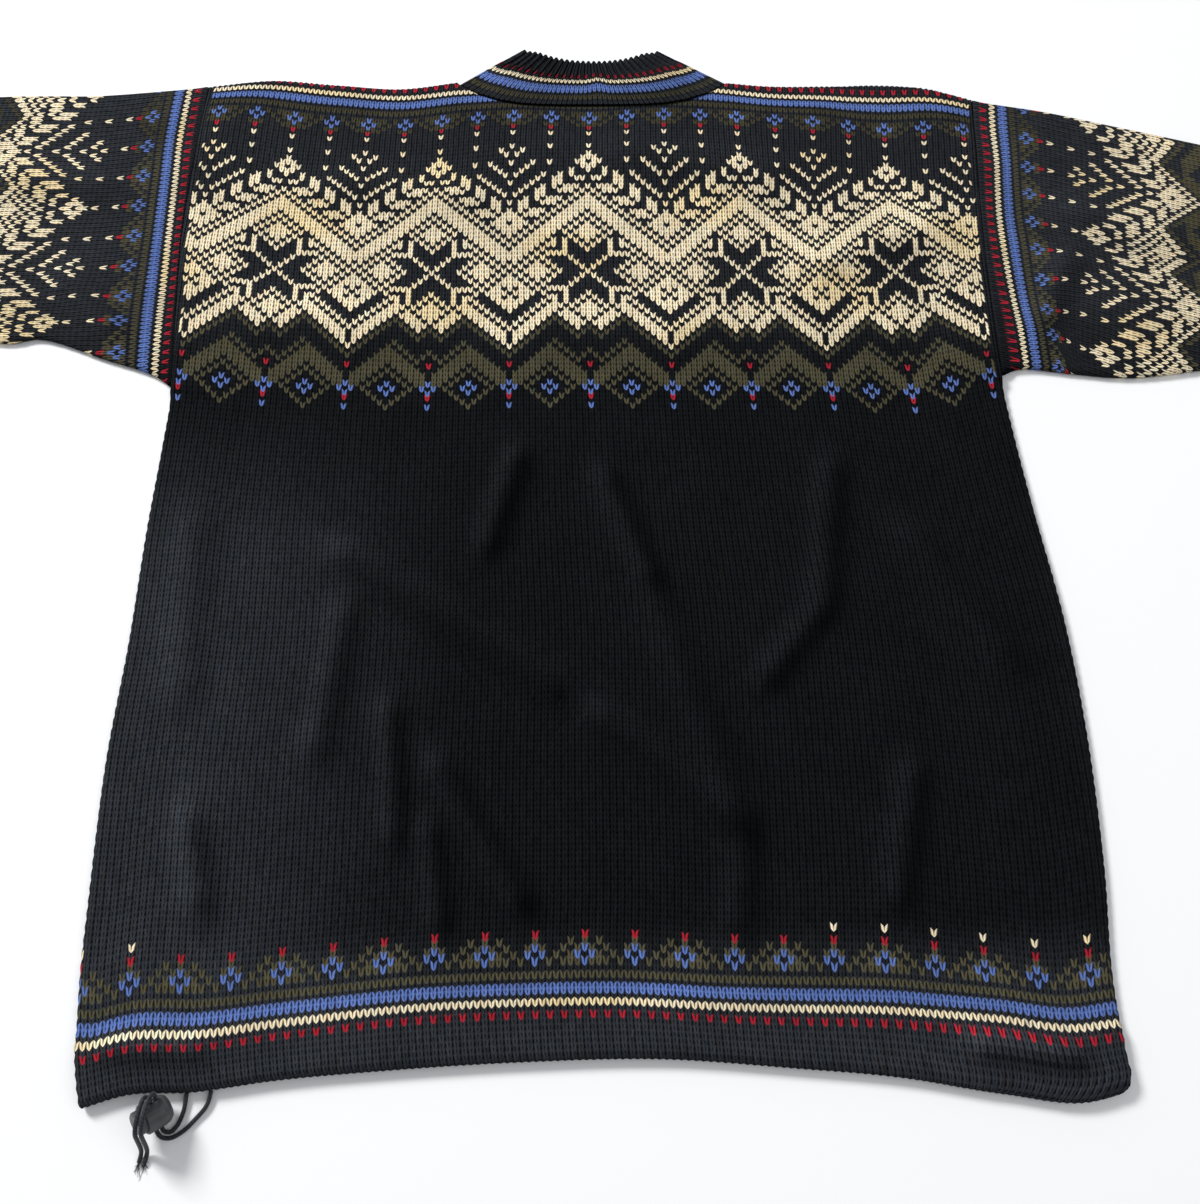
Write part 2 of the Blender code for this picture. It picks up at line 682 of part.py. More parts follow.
def centre_on_floor(pieces, garment):
    """Moves everything so that the middle of the garment's box is the origin."""
    bpy.context.view_layer.update()
    corners = np.array([piece.matrix_world @ v.co for piece in garment for v in piece.data.vertices])
    middle = (corners.min(axis=0) + corners.max(axis=0)) / 2
    for piece in pieces:
        piece.location.x -= middle[0]
        piece.location.y -= middle[1]


def main():
    for leftover in list(bpy.data.objects):
        bpy.data.objects.remove(leftover)
    sweater = new_collection("nordic_sweater")
    cutters = new_collection("cutters")

    garment = [
        make_front_panel(wool("front_wool", BLACK_WOOL), sweater),
        make_back_panel(wool("back_wool", BLACK_WOOL), sweater),
        make_collar(wool("collar_wool", COLLAR_WOOL), sweater),
    ]
    sides = (
        ("left", LEFT_SLEEVE, left_side, -SEAM),
        ("right", RIGHT_SLEEVE, right_side, SEAM),
    )
    for side, table, armhole, gap in sides:
        garment.append(make_sleeve(side, table, armhole, gap, wool(side + "_sleeve_wool", BLACK_WOOL), sweater))
        garment.append(make_cuff(side, table, wool(side + "_cuff_wool", BLACK_WOOL), sweater))

    make_lock(wool("lock_plastic", LOCK_GREY, 0.45), sweater, cutters)
    make_cords(wool("elastic_cord", CORD_BLACK, 0.8), sweater)
    centre_on_floor([*sweater.objects, *cutters.objects], garment)


main()
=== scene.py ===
import math

import bmesh
import bpy
import numpy as np
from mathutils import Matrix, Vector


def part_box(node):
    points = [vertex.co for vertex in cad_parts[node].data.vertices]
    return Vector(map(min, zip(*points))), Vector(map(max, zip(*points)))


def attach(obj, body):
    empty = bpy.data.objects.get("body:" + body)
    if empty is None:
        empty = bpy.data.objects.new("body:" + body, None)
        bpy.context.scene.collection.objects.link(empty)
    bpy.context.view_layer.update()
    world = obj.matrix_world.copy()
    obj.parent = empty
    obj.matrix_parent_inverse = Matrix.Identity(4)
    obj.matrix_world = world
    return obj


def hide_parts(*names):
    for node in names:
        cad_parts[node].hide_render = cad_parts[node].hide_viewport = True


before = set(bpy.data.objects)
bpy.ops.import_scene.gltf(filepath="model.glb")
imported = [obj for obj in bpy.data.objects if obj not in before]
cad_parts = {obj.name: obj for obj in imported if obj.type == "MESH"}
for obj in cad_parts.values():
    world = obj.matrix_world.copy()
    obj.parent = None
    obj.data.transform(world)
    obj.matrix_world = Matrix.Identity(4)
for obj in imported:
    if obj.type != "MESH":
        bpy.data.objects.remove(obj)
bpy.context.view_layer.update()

scene = bpy.context.scene

# ---- View, light and table ----
# The photo looks down on the sweater at 66 degrees from 0.72 m above it. The light is a
# plain soft studio one, and the garment lies on a pale level surface.
view = bpy.data.objects.new("photo_view", bpy.data.cameras.new("photo_view"))
view.data.sensor_width = 36
view.data.lens = 35.94
view.data.clip_start = 0.01
view.location = (0.0035, -0.4181, 0.728)
view.rotation_euler = (math.radians(24), 0, math.radians(-1.13))
scene.collection.objects.link(view)
scene.camera = view
scene.view_settings.view_transform = "Standard"

scene.world = bpy.data.worlds.new("studio")
scene.world.use_nodes = True
scene.world.node_tree.nodes["Background"].inputs["Color"].default_value = (0.93, 0.96, 1.0, 1)
scene.world.node_tree.nodes["Background"].inputs["Strength"].default_value = 0.42

softboxes = (  # name, place, side in metres, watts, turn in degrees
    ("window_softbox", (-2.6, 2.4, 2.7), 1.2, 215, (-36, -38, 0)),
    ("fill_softbox", (1.3, -0.6, 1.7), 1.4, 8, (18, 36, 0)),
)
for name, place, side, watts, turn in softboxes:
    lamp = bpy.data.lights.new(name, "AREA")
    lamp.shape = "RECTANGLE"
    lamp.size = lamp.size_y = side
    lamp.energy = watts
    softbox = bpy.data.objects.new(name, lamp)
    softbox.location = place
    softbox.rotation_euler = [math.radians(angle) for angle in turn]
    scene.collection.objects.link(softbox)

table = bmesh.new()
bmesh.ops.create_grid(table, x_segments=1, y_segments=1, size=6)
table_mesh = bpy.data.meshes.new("table")
table.to_mesh(table_mesh)
table.free()
table_top = bpy.data.objects.new("table", table_mesh)
scene.collection.objects.link(table_top)
pale = bpy.data.materials.new("pale_table")
pale.use_nodes = True
pale.node_tree.nodes["Principled BSDF"].inputs["Base Color"].default_value = (0.90, 0.90, 0.905, 1)
pale.node_tree.nodes["Principled BSDF"].inputs["Roughness"].default_value = 0.9
table_mesh.materials.append(pale)

# ---- Elastic drawcord ----
# Two strands of thin braided elastic come out of the hem at the lower left, run through
# the cord lock side by side, and end bare and frayed. The garment's plan is drawn from
# the middle of its hem, and hem_middle is where that is.
collar_low, collar_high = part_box("collar")
hem_middle = np.array((collar_low[0] + 0.097, collar_high[1] - 0.7855, 0.0))


def through(places, values, at):
    """A smooth curve through a table's values."""
    places, values = np.asarray(places, float), np.asarray(values, float)
    at = np.clip(at, places[0], places[-1])
    slopes = np.gradient(values, places)
    k = np.clip(np.searchsorted(places, at) - 1, 0, len(places) - 2)
    width = places[k + 1] - places[k]
    u = (at - places[k]) / width
    leave, arrive = slopes[k] * width, slopes[k + 1] * width
    return (
        (2 * u**3 - 3 * u**2 + 1) * values[k]
        + (u**3 - 2 * u**2 + u) * leave
        + (3 * u**2 - 2 * u**3) * values[k + 1]
        + (u**3 - u**2) * arrive
    )


def laid_on_table(name, mesh_or_curve, slot, *nodes):
    """The finished piece, riding with the sweater in place of its CAD nodes."""
    piece = bpy.data.objects.new(name, mesh_or_curve)
    scene.collection.objects.link(piece)
    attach(piece, "sweater")
    if nodes:
        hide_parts(*nodes)
    return piece


def new_material(name, surface):
    material = bpy.data.materials.new(name)
    material.use_nodes = True
    nodes, links = material.node_tree.nodes, material.node_tree.links
    shader = nodes["Principled BSDF"]
    for key, value in surface.items():
        shader.inputs[key].default_value = value
    return material, nodes, links, shader


def node(nodes, kind, **settings):
    made = nodes.new("ShaderNode" + kind)
    for key, value in settings.items():
        if key in made.inputs:
            made.inputs[key].default_value = value
        else:
            setattr(made, key, value)
    return made


def maths(nodes, links, operation, a, b=None, c=None):
    """A Math node over sockets or plain numbers."""
    made = nodes.new("ShaderNodeMath")
    made.operation = operation
    for k, value in enumerate((a, b, c)):
        if value is None:
            continue
        if isinstance(value, (int, float)):
            made.inputs[k].default_value = value
        else:
            links.new(value, made.inputs[k])
    return made.outputs[0]


def texture(nodes, links, kind, **settings):
    """A texture's value at the place on the piece."""
    made = node(nodes, kind, **settings)
    links.new(node(nodes, "TexCoord").outputs["Object"], made.inputs["Vector"])
    return made.outputs["Fac"]


def raise_surface(nodes, links, shader, height, strength, distance):
    bump = node(nodes, "Bump", Strength=strength, Distance=distance)
    links.new(height, bump.inputs["Height"])
    links.new(bump.outputs["Normal"], shader.inputs["Normal"])


cord_radius = 0.00125
cord_pitch = 0.0032
lock_centre = np.array((-0.2466, -0.0222, 0.0116))
lock_heading, lock_tilt = math.radians(215.6), math.radians(30)
lock_out = np.array(
    (
        math.cos(lock_heading) * math.cos(lock_tilt),
        math.sin(lock_heading) * math.cos(lock_tilt),
        math.sin(lock_tilt),
    )
)
lock_side = np.array((-math.sin(lock_heading), math.cos(lock_heading), 0.0))
lock_up = np.cross(lock_out, lock_side)
hole_turn = math.radians(50)
hole_way = math.cos(hole_turn) * lock_side - math.sin(hole_turn) * lock_up
hole_steps = (0.0102, 0.0078, 0.0040, 0.0, -0.0040, -0.0078, -0.0092)

# Points along the strands, from the hem to the lock, and from the lock to their free ends.
strand_runs = {
    "a": (
        (-0.2199, -0.0109, 0.0028), (-0.2215, -0.0180, 0.0021), (-0.2272, -0.0252, 0.0016),
        (-0.2340, -0.0318, 0.0016), (-0.2408, -0.0349, 0.0018), (-0.2448, -0.0342, 0.0030),
    ),
    "b": (
        (-0.2335, -0.0118, 0.0028), (-0.2346, -0.0220, 0.0018), (-0.2372, -0.0285, 0.0016),
        (-0.2408, -0.0318, 0.0017), (-0.2437, -0.0312, 0.0027),
    ),
}
free_run = (
    (-0.2476, -0.0133, 0.0205), (-0.2482, -0.0142, 0.0232), (-0.2489, -0.0178, 0.0250),
    (-0.2495, -0.0225, 0.0258), (-0.2502, -0.0275, 0.0256), (-0.2509, -0.0322, 0.0230),
    (-0.2516, -0.0358, 0.0160), (-0.2523, -0.0388, 0.0085), (-0.2530, -0.0416, 0.0033),
    (-0.2537, -0.0442, 0.0017), (-0.2543, -0.0468, 0.0014),
)
cord_points = 56
filament_radius, filament_count, filament_points, filament_low = 0.00022, 16, 5, 0.0003

elastic, nodes, links, shader = new_material(
    "braided_elastic",
    {"Roughness": 0.72, "Sheen Weight": 0.25, "Sheen Roughness": 0.4, "Specular IOR Level": 0.35},
)
braid = {"Scale": 260, "Distortion": 2.0, "Detail": 1, "bands_direction": "DIAGONAL"}
weave = texture(nodes, links, "TexWave", **braid)
fibre = texture(nodes, links, "TexNoise", Scale=900, Detail=3)
shade = node(nodes, "ValToRGB")
shade.color_ramp.elements[0].color = (0.008, 0.009, 0.013, 1)
shade.color_ramp.elements[1].color = (0.034, 0.038, 0.050, 1)
links.new(maths(nodes, links, "MULTIPLY", weave, fibre), shade.inputs["Fac"])
links.new(shade.outputs["Color"], shader.inputs["Base Color"])
raise_surface(nodes, links, shader, weave, 0.5, 0.0002)

frayed = np.random.default_rng(4)
for strand, sign in (("a", 1), ("b", -1)):
    aside = lock_out * cord_pitch / 2 * sign
    inside = [lock_centre + aside + hole_way * step for step in hole_steps]
    level = np.array((-sign * cord_pitch / 2, 0.0, 0.0))
    lean = [aside * (0, 1, 1) * max(0.0, 1 - k / 3) for k in range(len(free_run))]
    free = [np.array(point) + level + shift for point, shift in zip(free_run, lean)]
    route = np.array([*strand_runs[strand], *inside, *free]) + hem_middle
    steps = np.concatenate([[0], np.cumsum(np.linalg.norm(np.diff(route, axis=0), axis=1))])
    at = np.linspace(0, steps[-1], cord_points)
    points = np.stack([through(steps, route[:, k], at) for k in range(3)], axis=-1)
    curve = bpy.data.curves.new("drawcord_" + strand, "CURVE")
    curve.dimensions = "3D"
    curve.bevel_depth = cord_radius
    curve.bevel_resolution = 3
    curve.use_fill_caps = True
    line = curve.splines.new("POLY")
    line.points.add(len(points) - 1)
    for point, place in zip(line.points, points):
        point.co = (*place, 1)
    curve.materials.append(elastic)
    cord = laid_on_table(
        "drawcord_" + strand, curve, "elastic_cord",
        "drawcord_loop_" + strand, "drawcord_end_" + strand,
    )

    # Loose filaments where the braid was cut.
    tuft = bpy.data.curves.new("frayed_end_" + strand, "CURVE")
    tuft.dimensions = "3D"
    tuft.bevel_depth = filament_radius
    tuft.bevel_resolution = 0
    tip, onward = points[-1], points[-1] - points[-4]
    onward = onward / np.linalg.norm(onward)
    for _ in range(filament_count):
        start = tip - onward * 0.0012 + frayed.normal(0, 0.0004, 3) * (1, 1, 0.5)
        bend = frayed.normal(0, 0.30, 3) * (1, 1, 0.35)
        reach = frayed.uniform(0.0030, 0.0068)
        hair = tuft.splines.new("POLY")
        hair.points.add(filament_points - 1)
        for k, point in enumerate(hair.points):
            far = k / (filament_points - 1)
            place = start + reach * far * (onward + bend * far)
            place[2] = max(place[2], filament_low)
            point.co = (*place, 1)
            point.radius = 1.3 - far
    tuft.materials.append(elastic)
    fringe = laid_on_table("frayed_end_" + strand, tuft, "elastic_cord")

# ---- Cord lock ----
# A small sprung stopper of dark grey moulded nylon: a barrel with a cross hole for the
# cord, and a push button that slides in its bore. Its stem ends short of the cord's hole,
# also when it is pressed in.
nylon, nodes, links, shader = new_material(
    "moulded_nylon", {"Roughness": 0.46, "Specular IOR Level": 0.45}
)
grain = texture(nodes, links, "TexNoise", Scale=1400, Detail=4)
cloud = texture(nodes, links, "TexNoise", Scale=160, Detail=2)
tone = node(nodes, "ValToRGB")
tone.color_ramp.elements[0].position = 0.3
tone.color_ramp.elements[0].color = (0.040, 0.044, 0.048, 1)
tone.color_ramp.elements[1].position = 0.75
tone.color_ramp.elements[1].color = (0.060, 0.065, 0.070, 1)
links.new(cloud, tone.inputs["Fac"])
links.new(tone.outputs["Color"], shader.inputs["Base Color"])
raise_surface(nodes, links, shader, grain, 0.18, 0.0001)
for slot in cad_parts["cord_lock_barrel"].material_slots:
    slot.material = nylon

# The button is turned, with a broken edge round its face.
button_radius, button_face, broken_edge = 0.0067, 0.0058, 0.0009
button_top, stem_end, button_sides = 0.0120, 0.0065, 64
profile = (
    (button_face, button_top), (button_radius, button_top - broken_edge), (button_radius, stem_end),
)
middle = lock_centre + hem_middle
corners, faces = [middle + lock_out * button_top, middle + lock_out * stem_end], []
for k in range(button_sides):
    about = 2 * math.pi * k / button_sides
    spoke = lock_side * math.cos(about) + lock_up * math.sin(about)
    corners += [middle + spoke * radius + lock_out * height for radius, height in profile]
    here, there = 2 + 3 * k, 2 + 3 * ((k + 1) % button_sides)
    faces += [
        (0, here, there), (here, here + 1, there + 1, there),
        (here + 1, here + 2, there + 2, there + 1), (1, there + 2, here + 2),
    ]
button_mesh = bpy.data.meshes.new("push_button")
button_mesh.from_pydata(corners, [], faces)
button_mesh.materials.append(nylon)
button = bpy.data.objects.new("push_button", button_mesh)
scene.collection.objects.link(button)
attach(button, "lock_button")
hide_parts("cord_lock_button")

# ---- Back of the body ----
# The upper layer, knitted from the hem up in black wool, 145 stitches across the back, with
# stripes and stars in cream, blue, olive and red. The hem is turned up, so it is thicker.
wall, hem_wall, hem_depth, hem_blend = 0.0026, 0.0040, 0.036, 0.005
seam = 0.0003
puff_most, puff_reach = 0.0016, 0.060
side_heights = (
    -0.028, -0.018, 0.0, 0.039, 0.1, 0.18, 0.261, 0.35, 0.411, 0.452, 0.5, 0.597, 0.68, 0.745,
)
left_sides = (
    -0.288, -0.292, -0.297, -0.302, -0.305, -0.307, -0.304,
    -0.303, -0.301, -0.3, -0.303, -0.309, -0.308, -0.306,
)
right_sides = (
    0.285, 0.294, 0.295, 0.296, 0.303, 0.308, 0.308,
    0.301, 0.297, 0.2955, 0.2965, 0.302, 0.309, 0.315,
)
hem_across = (
    -0.29, -0.268, -0.23, -0.186, -0.125, -0.05, 0.036, 0.106, 0.165, 0.224, 0.269, 0.292,
)
hem_heights = (
    -0.019, -0.013, -0.012, -0.007, -0.003, 0.0, 0.0, -0.006, -0.012, -0.022, -0.027, -0.022,
)
shoulder_across = (-0.307, -0.26, -0.2, -0.15, -0.097, 0.112, 0.15, 0.203, 0.24, 0.277, 0.315)
shoulder_heights = (0.744, 0.75, 0.744, 0.739, 0.746, 0.741, 0.736, 0.735, 0.735, 0.731, 0.717)
shoulder_level = 0.7435
drop_ends, lift_starts = 0.45, 0.55  # rows run straight between the hem's curve and the top's
shoulder_fullness = 0.0052  # the soft roll of the knitting past its seam line
neck_left, neck_right, neck_sag = (-0.103, 0.7475), (0.1155, 0.7440), 4.0
back_neck, front_neck = (0.025, 13), (0.062, 8)
armhole_foot, armhole_blend = 0.452, 0.012
edge_scallop = 0.0006
seam_roll, edge_roll = 0.0013, 0.0026  # radius of the knitting where it turns at an edge
seam_dip, neck_dip, point_dip = 0.0016, 0.0005, 0.0003  # how deep seams and stitches sink
fold_depth = 1.5  # times as deep as the heights below
fold_full, fold_taper = 0.35, 1.6  # where a fold begins to run out, and how softly
soft_folds = (  # start_x, start_y, end_x, end_y, width, height
    (-0.190, 0.335, -0.003, 0.208, 0.013, 0.0034), (-0.010, 0.213, 0.090, 0.128, 0.011, 0.0042),
    (0.005, 0.385, 0.040, 0.290, 0.010, 0.0036), (0.034, 0.300, 0.088, 0.130, 0.013, 0.0020),
    (0.088, 0.135, 0.080, 0.070, 0.011, 0.0018), (-0.050, 0.400, -0.073, 0.318, 0.010, 0.0028),
    (-0.132, 0.220, -0.123, 0.120, 0.009, 0.0026), (-0.106, 0.184, -0.040, 0.078, 0.009, 0.0034),
    (-0.104, 0.138, -0.094, 0.072, 0.008, 0.0022), (-0.162, 0.290, -0.176, 0.175, 0.011, 0.0022),
    (0.166, 0.392, 0.150, 0.277, 0.011, 0.0024), (0.150, 0.277, 0.105, 0.222, 0.010, 0.0022),
    (0.196, 0.170, 0.174, 0.080, 0.010, 0.0022), (0.208, 0.336, 0.272, 0.230, 0.013, 0.0026),
    (-0.250, 0.145, -0.236, 0.088, 0.010, 0.0026), (-0.272, 0.360, -0.262, 0.210, 0.014, 0.0020),
    (-0.205, 0.640, -0.090, 0.625, 0.020, 0.0018), (0.020, 0.668, 0.150, 0.640, 0.022, 0.0020),
    (0.180, 0.560, 0.262, 0.590, 0.020, 0.0020), (-0.240, 0.520, -0.150, 0.500, 0.020, 0.0016),
    (-0.040, 0.505, 0.070, 0.495, 0.022, 0.0014), (-0.346, 0.505, -0.392, 0.560, 0.012, 0.0020),
    (-0.380, 0.640, -0.455, 0.655, 0.018, 0.0020), (0.330, 0.500, 0.362, 0.560, 0.012, 0.0015),
    (0.372, 0.600, 0.440, 0.575, 0.018, 0.0022), (-0.520, 0.640, -0.620, 0.668, 0.016, 0.0022),
    (0.520, 0.560, 0.610, 0.545, 0.016, 0.0022), (0.206, 0.004, 0.268, -0.004, 0.007, 0.0024),
    (-0.285, 0.012, -0.225, 0.010, 0.008, 0.0018),
)

# Rows of knitting: a row's number, with the middle of the star band at 0, and the height of
# its stitches above the hem. Columns: a stitch's number from the middle star, and its share
# of the way across.
row_numbers = 0.2 + np.array(
    (
        -155, -147, -145, -142.5, -140, -138, -137, -136, -135, -134, -132, -31, -26, -21, -17,
        -13, -5, 0, 11, 20, 26, 30, 34, 39, 42, 44.5, 47, 49, 55,
    )
)
row_heights = (
    -0.0034, 0.0252, 0.0321, 0.0399, 0.0473, 0.0550, 0.0590, 0.0626, 0.0663, 0.0703, 0.0774,
    0.4300, 0.4492, 0.4688, 0.4845, 0.5004, 0.5330, 0.5533, 0.5976, 0.6320, 0.6555, 0.6725,
    0.6868, 0.7045, 0.7177, 0.7270, 0.7350, 0.7435, 0.7690,
)
column_numbers = (-74, -73, -56, -42, -28, -14, 0, 14, 28, 42, 56, 72, 75)
column_shares = (
    -0.0069, 0, 0.1160, 0.2140, 0.3110, 0.4050, 0.5020, 0.6000, 0.6950, 0.7890, 0.8820, 1, 1.0207,
)
first_column, last_column = -74, 75
first_row, last_row = -155, 55
hem_first_row = -153  # the hem's chart is counted from here
plain_rows = -100  # a row in the plain black between the hem's chart and the yoke's

# How far the knitting is pulled out of true where the sweater lies, in millimetres: a line for
# each of some rows, across some columns.
pulled_rows = (-155, -146, -134, -26, -5, 11, 26, 34, 39, 47)
pulled_columns = (-74, -70, -56, -42, -28, -14, 0, 14, 28, 42, 56, 70, 75)
pulled_aside = (
    (0, 0.2, 0.8, 0, 0.3, 2.4, 2.1, 1.5, 1.8, 4.3, 6.2, 4.5, 3.5),
    (0, 0.2, 0.8, 0, 0.3, 2.4, 2.1, 1.5, 1.8, 4.3, 6.2, 4.5, 3.5),
    (-2.5, -1.5, 0.2, -0.3, 0.3, 2.3, 2.0, 1.4, 1.9, 4.5, 6.0, 5.3, 4.5),
    (-8.8, -8.8, -4.8, -5.0, -3.6, -1.5, -1.0, -1.0, -1.0, -0.2, 1.2, -2.4, -2.4),
    (-4.5, -4.5, -0.7, -1.3, -1.2, 0.6, 0.4, 1.2, -0.1, -0.1, 0.5, -2.6, -2.6),
    (-0.4, -0.4, 0.6, 1.6, -0.3, -0.3, 0.0, 0.8, -0.4, -1.2, -0.4, -4.0, -4.0),
    (-1.4, -1.4, 1.2, 0.6, 0.1, -1.8, -1.0, -1.6, -1.2, -0.8, -1.4, -3.1, -3.1),
    (-2.0, -2.0, 0.9, 0.1, -1.1, -2.5, -2.0, -2.8, -3.0, -0.7, -1.5, -2.7, -2.7),
    (-2.2, -2.2, 0.7, -0.1, -1.5, -2.7, -2.4, -3.2, -3.6, -0.6, -1.5, -2.5, -2.5),
    (-1.4, -1.4, 0.6, -0.2, -1.5, -2.8, -2.4, -3.3, -3.9, -0.9, -1.1, -2.6, -2.6),
)
pulled_up = (
    (0, 0, 0, 0, 0, 0, 0, 0, 0, 0, 0, 0, 0),
    (-1.0, -1.5, -2.7, -2.0, 0.1, 0, -0.8, -2.3, 0, 3.5, 7.0, 2.5, -1.5),
    (2.2, 1.8, 0, -1.2, 0, -0.5, -1.0, -2.6, 0, 2.8, 4.2, 3.2, 2.2),
    (17.0, 15.8, 8.3, 4.0, 1.4, 2.4, 1.3, -0.8, -2.3, -4.0, -7.2, 5.8, 8.0),
    (21.0, 19.3, 8.0, 4.9, 0.7, 1.1, 0.3, -2.4, -3.5, -3.7, -5.1, -0.3, 1.0),
    (18.0, 16.3, 5.4, 3.2, 0.1, 2.0, 0.8, -1.8, -1.6, -3.6, -5.4, -5.3, -4.0),
    (17.0, 15.0, 2.0, 1.6, -0.6, 1.9, 1.8, 1.7, 1.3, 0.1, -6.4, -0.7, 1.0),
    (13.0, 11.0, 0.8, 2.3, 1.3, 1.8, -1.2, 2.6, 3.2, 1.6, -7.5, 1.3, 3.0),
    (16.0, 14.2, 1.8, 0.5, 0.4, 1.8, -2.9, 4.0, 4.4, 2.5, -8.3, 2.5, 4.0),
    (8.0, 7.1, 3.2, 1.8, 0.4, -1.7, -2.7, 2.8, 1.4, -0.5, -4.7, 2.2, 3.0),
)
lean_of_v = 0.62  # how far a stitch's point reaches below its shoulders, in rows
armhole_margin, shoulder_margin = 0.0045, 0.0018  # plain black beside the armhole seams

black, cream, blue, olive, red = range(5)
yarn_colours = np.array(
    (
        (0.031, 0.034, 0.040),
        (0.860, 0.730, 0.500),
        (0.110, 0.175, 0.440),
        (0.078, 0.071, 0.043),
        (0.380, 0.020, 0.034),
    )
)


def smoothstep(low, high, value):
    u = np.clip((value - low) / (high - low), 0, 1)
    return u * u * (3 - 2 * u)


def relief(x, y):
    """Height of the soft folds that the cloth lies in."""
    height = np.zeros(np.broadcast(x, y).shape)
    for start_x, start_y, end_x, end_y, width, rise in soft_folds:
        run_x, run_y = end_x - start_x, end_y - start_y
        length = math.hypot(run_x, run_y)
        along = ((x - start_x) * run_x + (y - start_y) * run_y) / length**2
        beyond = np.maximum(0, np.abs(along - 0.5) - fold_full) * length / (fold_taper * width)
        aside = ((x - start_x) * run_y - (y - start_y) * run_x) / length / width
        height = height + fold_depth * rise * np.exp(-(aside**2) - beyond**2)
    return height


def pulled(shifts, at_rows, at_columns, column, row):
    """A table of shifts, a line for each of some rows, read at columns and rows, in metres."""
    total = np.zeros(np.broadcast(column, row).shape)
    for shift, peak in zip(shifts, np.eye(len(at_rows))):
        weight = np.interp(row, at_rows, peak)
        total = total + weight * through(at_columns, shift, column) / 1000
    return total


def left_side(y):
    return through(side_heights, left_sides, y)


def right_side(y):
    return through(side_heights, right_sides, y)


def hem_edge(x):
    return through(hem_across, hem_heights, x)


def neck_edge(x, neck):
    dip, steps = neck
    share = np.linspace(0, 1, steps + 1)
    sag = dip * (1 - np.abs(2 * share - 1) ** neck_sag)
    line = neck_left[1] + (neck_right[1] - neck_left[1]) * share - sag
    return np.interp(x, neck_left[0] + (neck_right[0] - neck_left[0]) * share, line)


def top_edge(x, neck):
    inside = (x > neck_left[0]) & (x < neck_right[0])
    shoulder = through(shoulder_across, shoulder_heights, x) + shoulder_fullness
    return np.where(inside, neck_edge(x, neck) + seam / 2, shoulder) - seam


def rolled(inset, radius):
    """Cloth that rolls over an edge: its new inset, how high it stands from the rim (0 to 1)
    and whether it is past the rim."""
    run = inset + (math.pi / 2 - 1) * radius
    turn = np.clip(run / radius, 0, math.pi / 2)
    new_inset = np.where(turn < math.pi / 2, radius * (1 - np.cos(turn)), inset)
    return new_inset, np.sin(turn), run <= 0


def across_repeat(c):
    """How many stitches c is from the nearest star (a), from midway between two stars (m),
    from a flower in line with either (half), from one in between (odd), from any (beside)."""
    a = np.abs((c + 14) % 28 - 14)
    half = np.abs((c + 7) % 14 - 7)
    odd = 7 - half
    return a, 14 - a, half, odd, np.minimum(half, odd)


def chart_painter(c, r):
    """A blank chart, and a way to paint a colour on it."""
    yarn = np.zeros(np.broadcast(c, r).shape, int)

    def paint(colour, where):
        yarn[np.broadcast_to(where, yarn.shape)] = colour

    return yarn, paint


def paint_over_stars(paint, c, r, big_flowers):
    """What the yoke and the sleeves share: the ears and lozenge over each star, the snow
    crystals between them, then dotted lines, flowers and stripes. Every second flower is a
    big one with more leaves: those over the stars (0) or the others (7)."""
    a, m, half, odd, beside = across_repeat(c)
    big, small = (half, odd) if big_flowers == 0 else (odd, half)
    paint(cream, (a + r == 20) & (r >= 6))
    for k in range(3):
        ear, high = a - 3 * k, r + 3 * k
        paint(cream, (high == 20) & (ear >= 2) & (ear <= 4))
        paint(cream, (high == 19) & (ear >= 3) & (ear <= 5))
        paint(cream, (ear == 5) & (high >= 21) & (high <= 23))
        paint(cream, (ear == 6) & (high >= 20) & (high <= 22))
    paint(cream, (a + np.abs(r - 26) <= 2) & ~((a == 0) & (r == 26)))
    paint(cream, ((a == 3) & ((r == 23) | (r == 24))) | (((a == 1) | (a == 2)) & (r == 22)))
    paint(cream, (m + np.abs(r - 11) <= 3) & ~((m == 0) & (r == 11)))
    paint(cream, (m == 0) & ((r == 16) | (r == 21) | (r == 26) | (r == 30)))
    paint(cream, (r == 17 + m) & (m >= 1) & (m <= 6))
    paint(cream, (r == 22 + m) & (m >= 1) & (m <= 4))
    paint(cream, ((m == 1) & (r == 28)) | ((m == 2) & (r == 29)))
    paint(cream, ((beside == 0) & ((r == 34) | (r == 30))) | ((odd == 0) & (r == 26)))
    paint(red, (beside == 0) & (r == 36))
    paint(olive, (r == 37) & ((beside <= 1) | (big == 2)))
    paint(olive, ((r == 38) & ((big == 1) | (big == 3))) | ((r == 39) & ((big == 2) | (big == 4))))
    paint(olive, (r == 40) & (((big >= 1) & (big <= 3)) | (small == 2)))
    paint(blue, ((beside == 0) & ((r == 38) | (r == 40))) | ((beside == 1) & (r == 39)))
    paint(olive, r == 42)
    paint(blue, (r == 44) | (r == 45))
    paint(cream, r == 47)
    paint(red, (r == 49) & (c % 2 == 0))


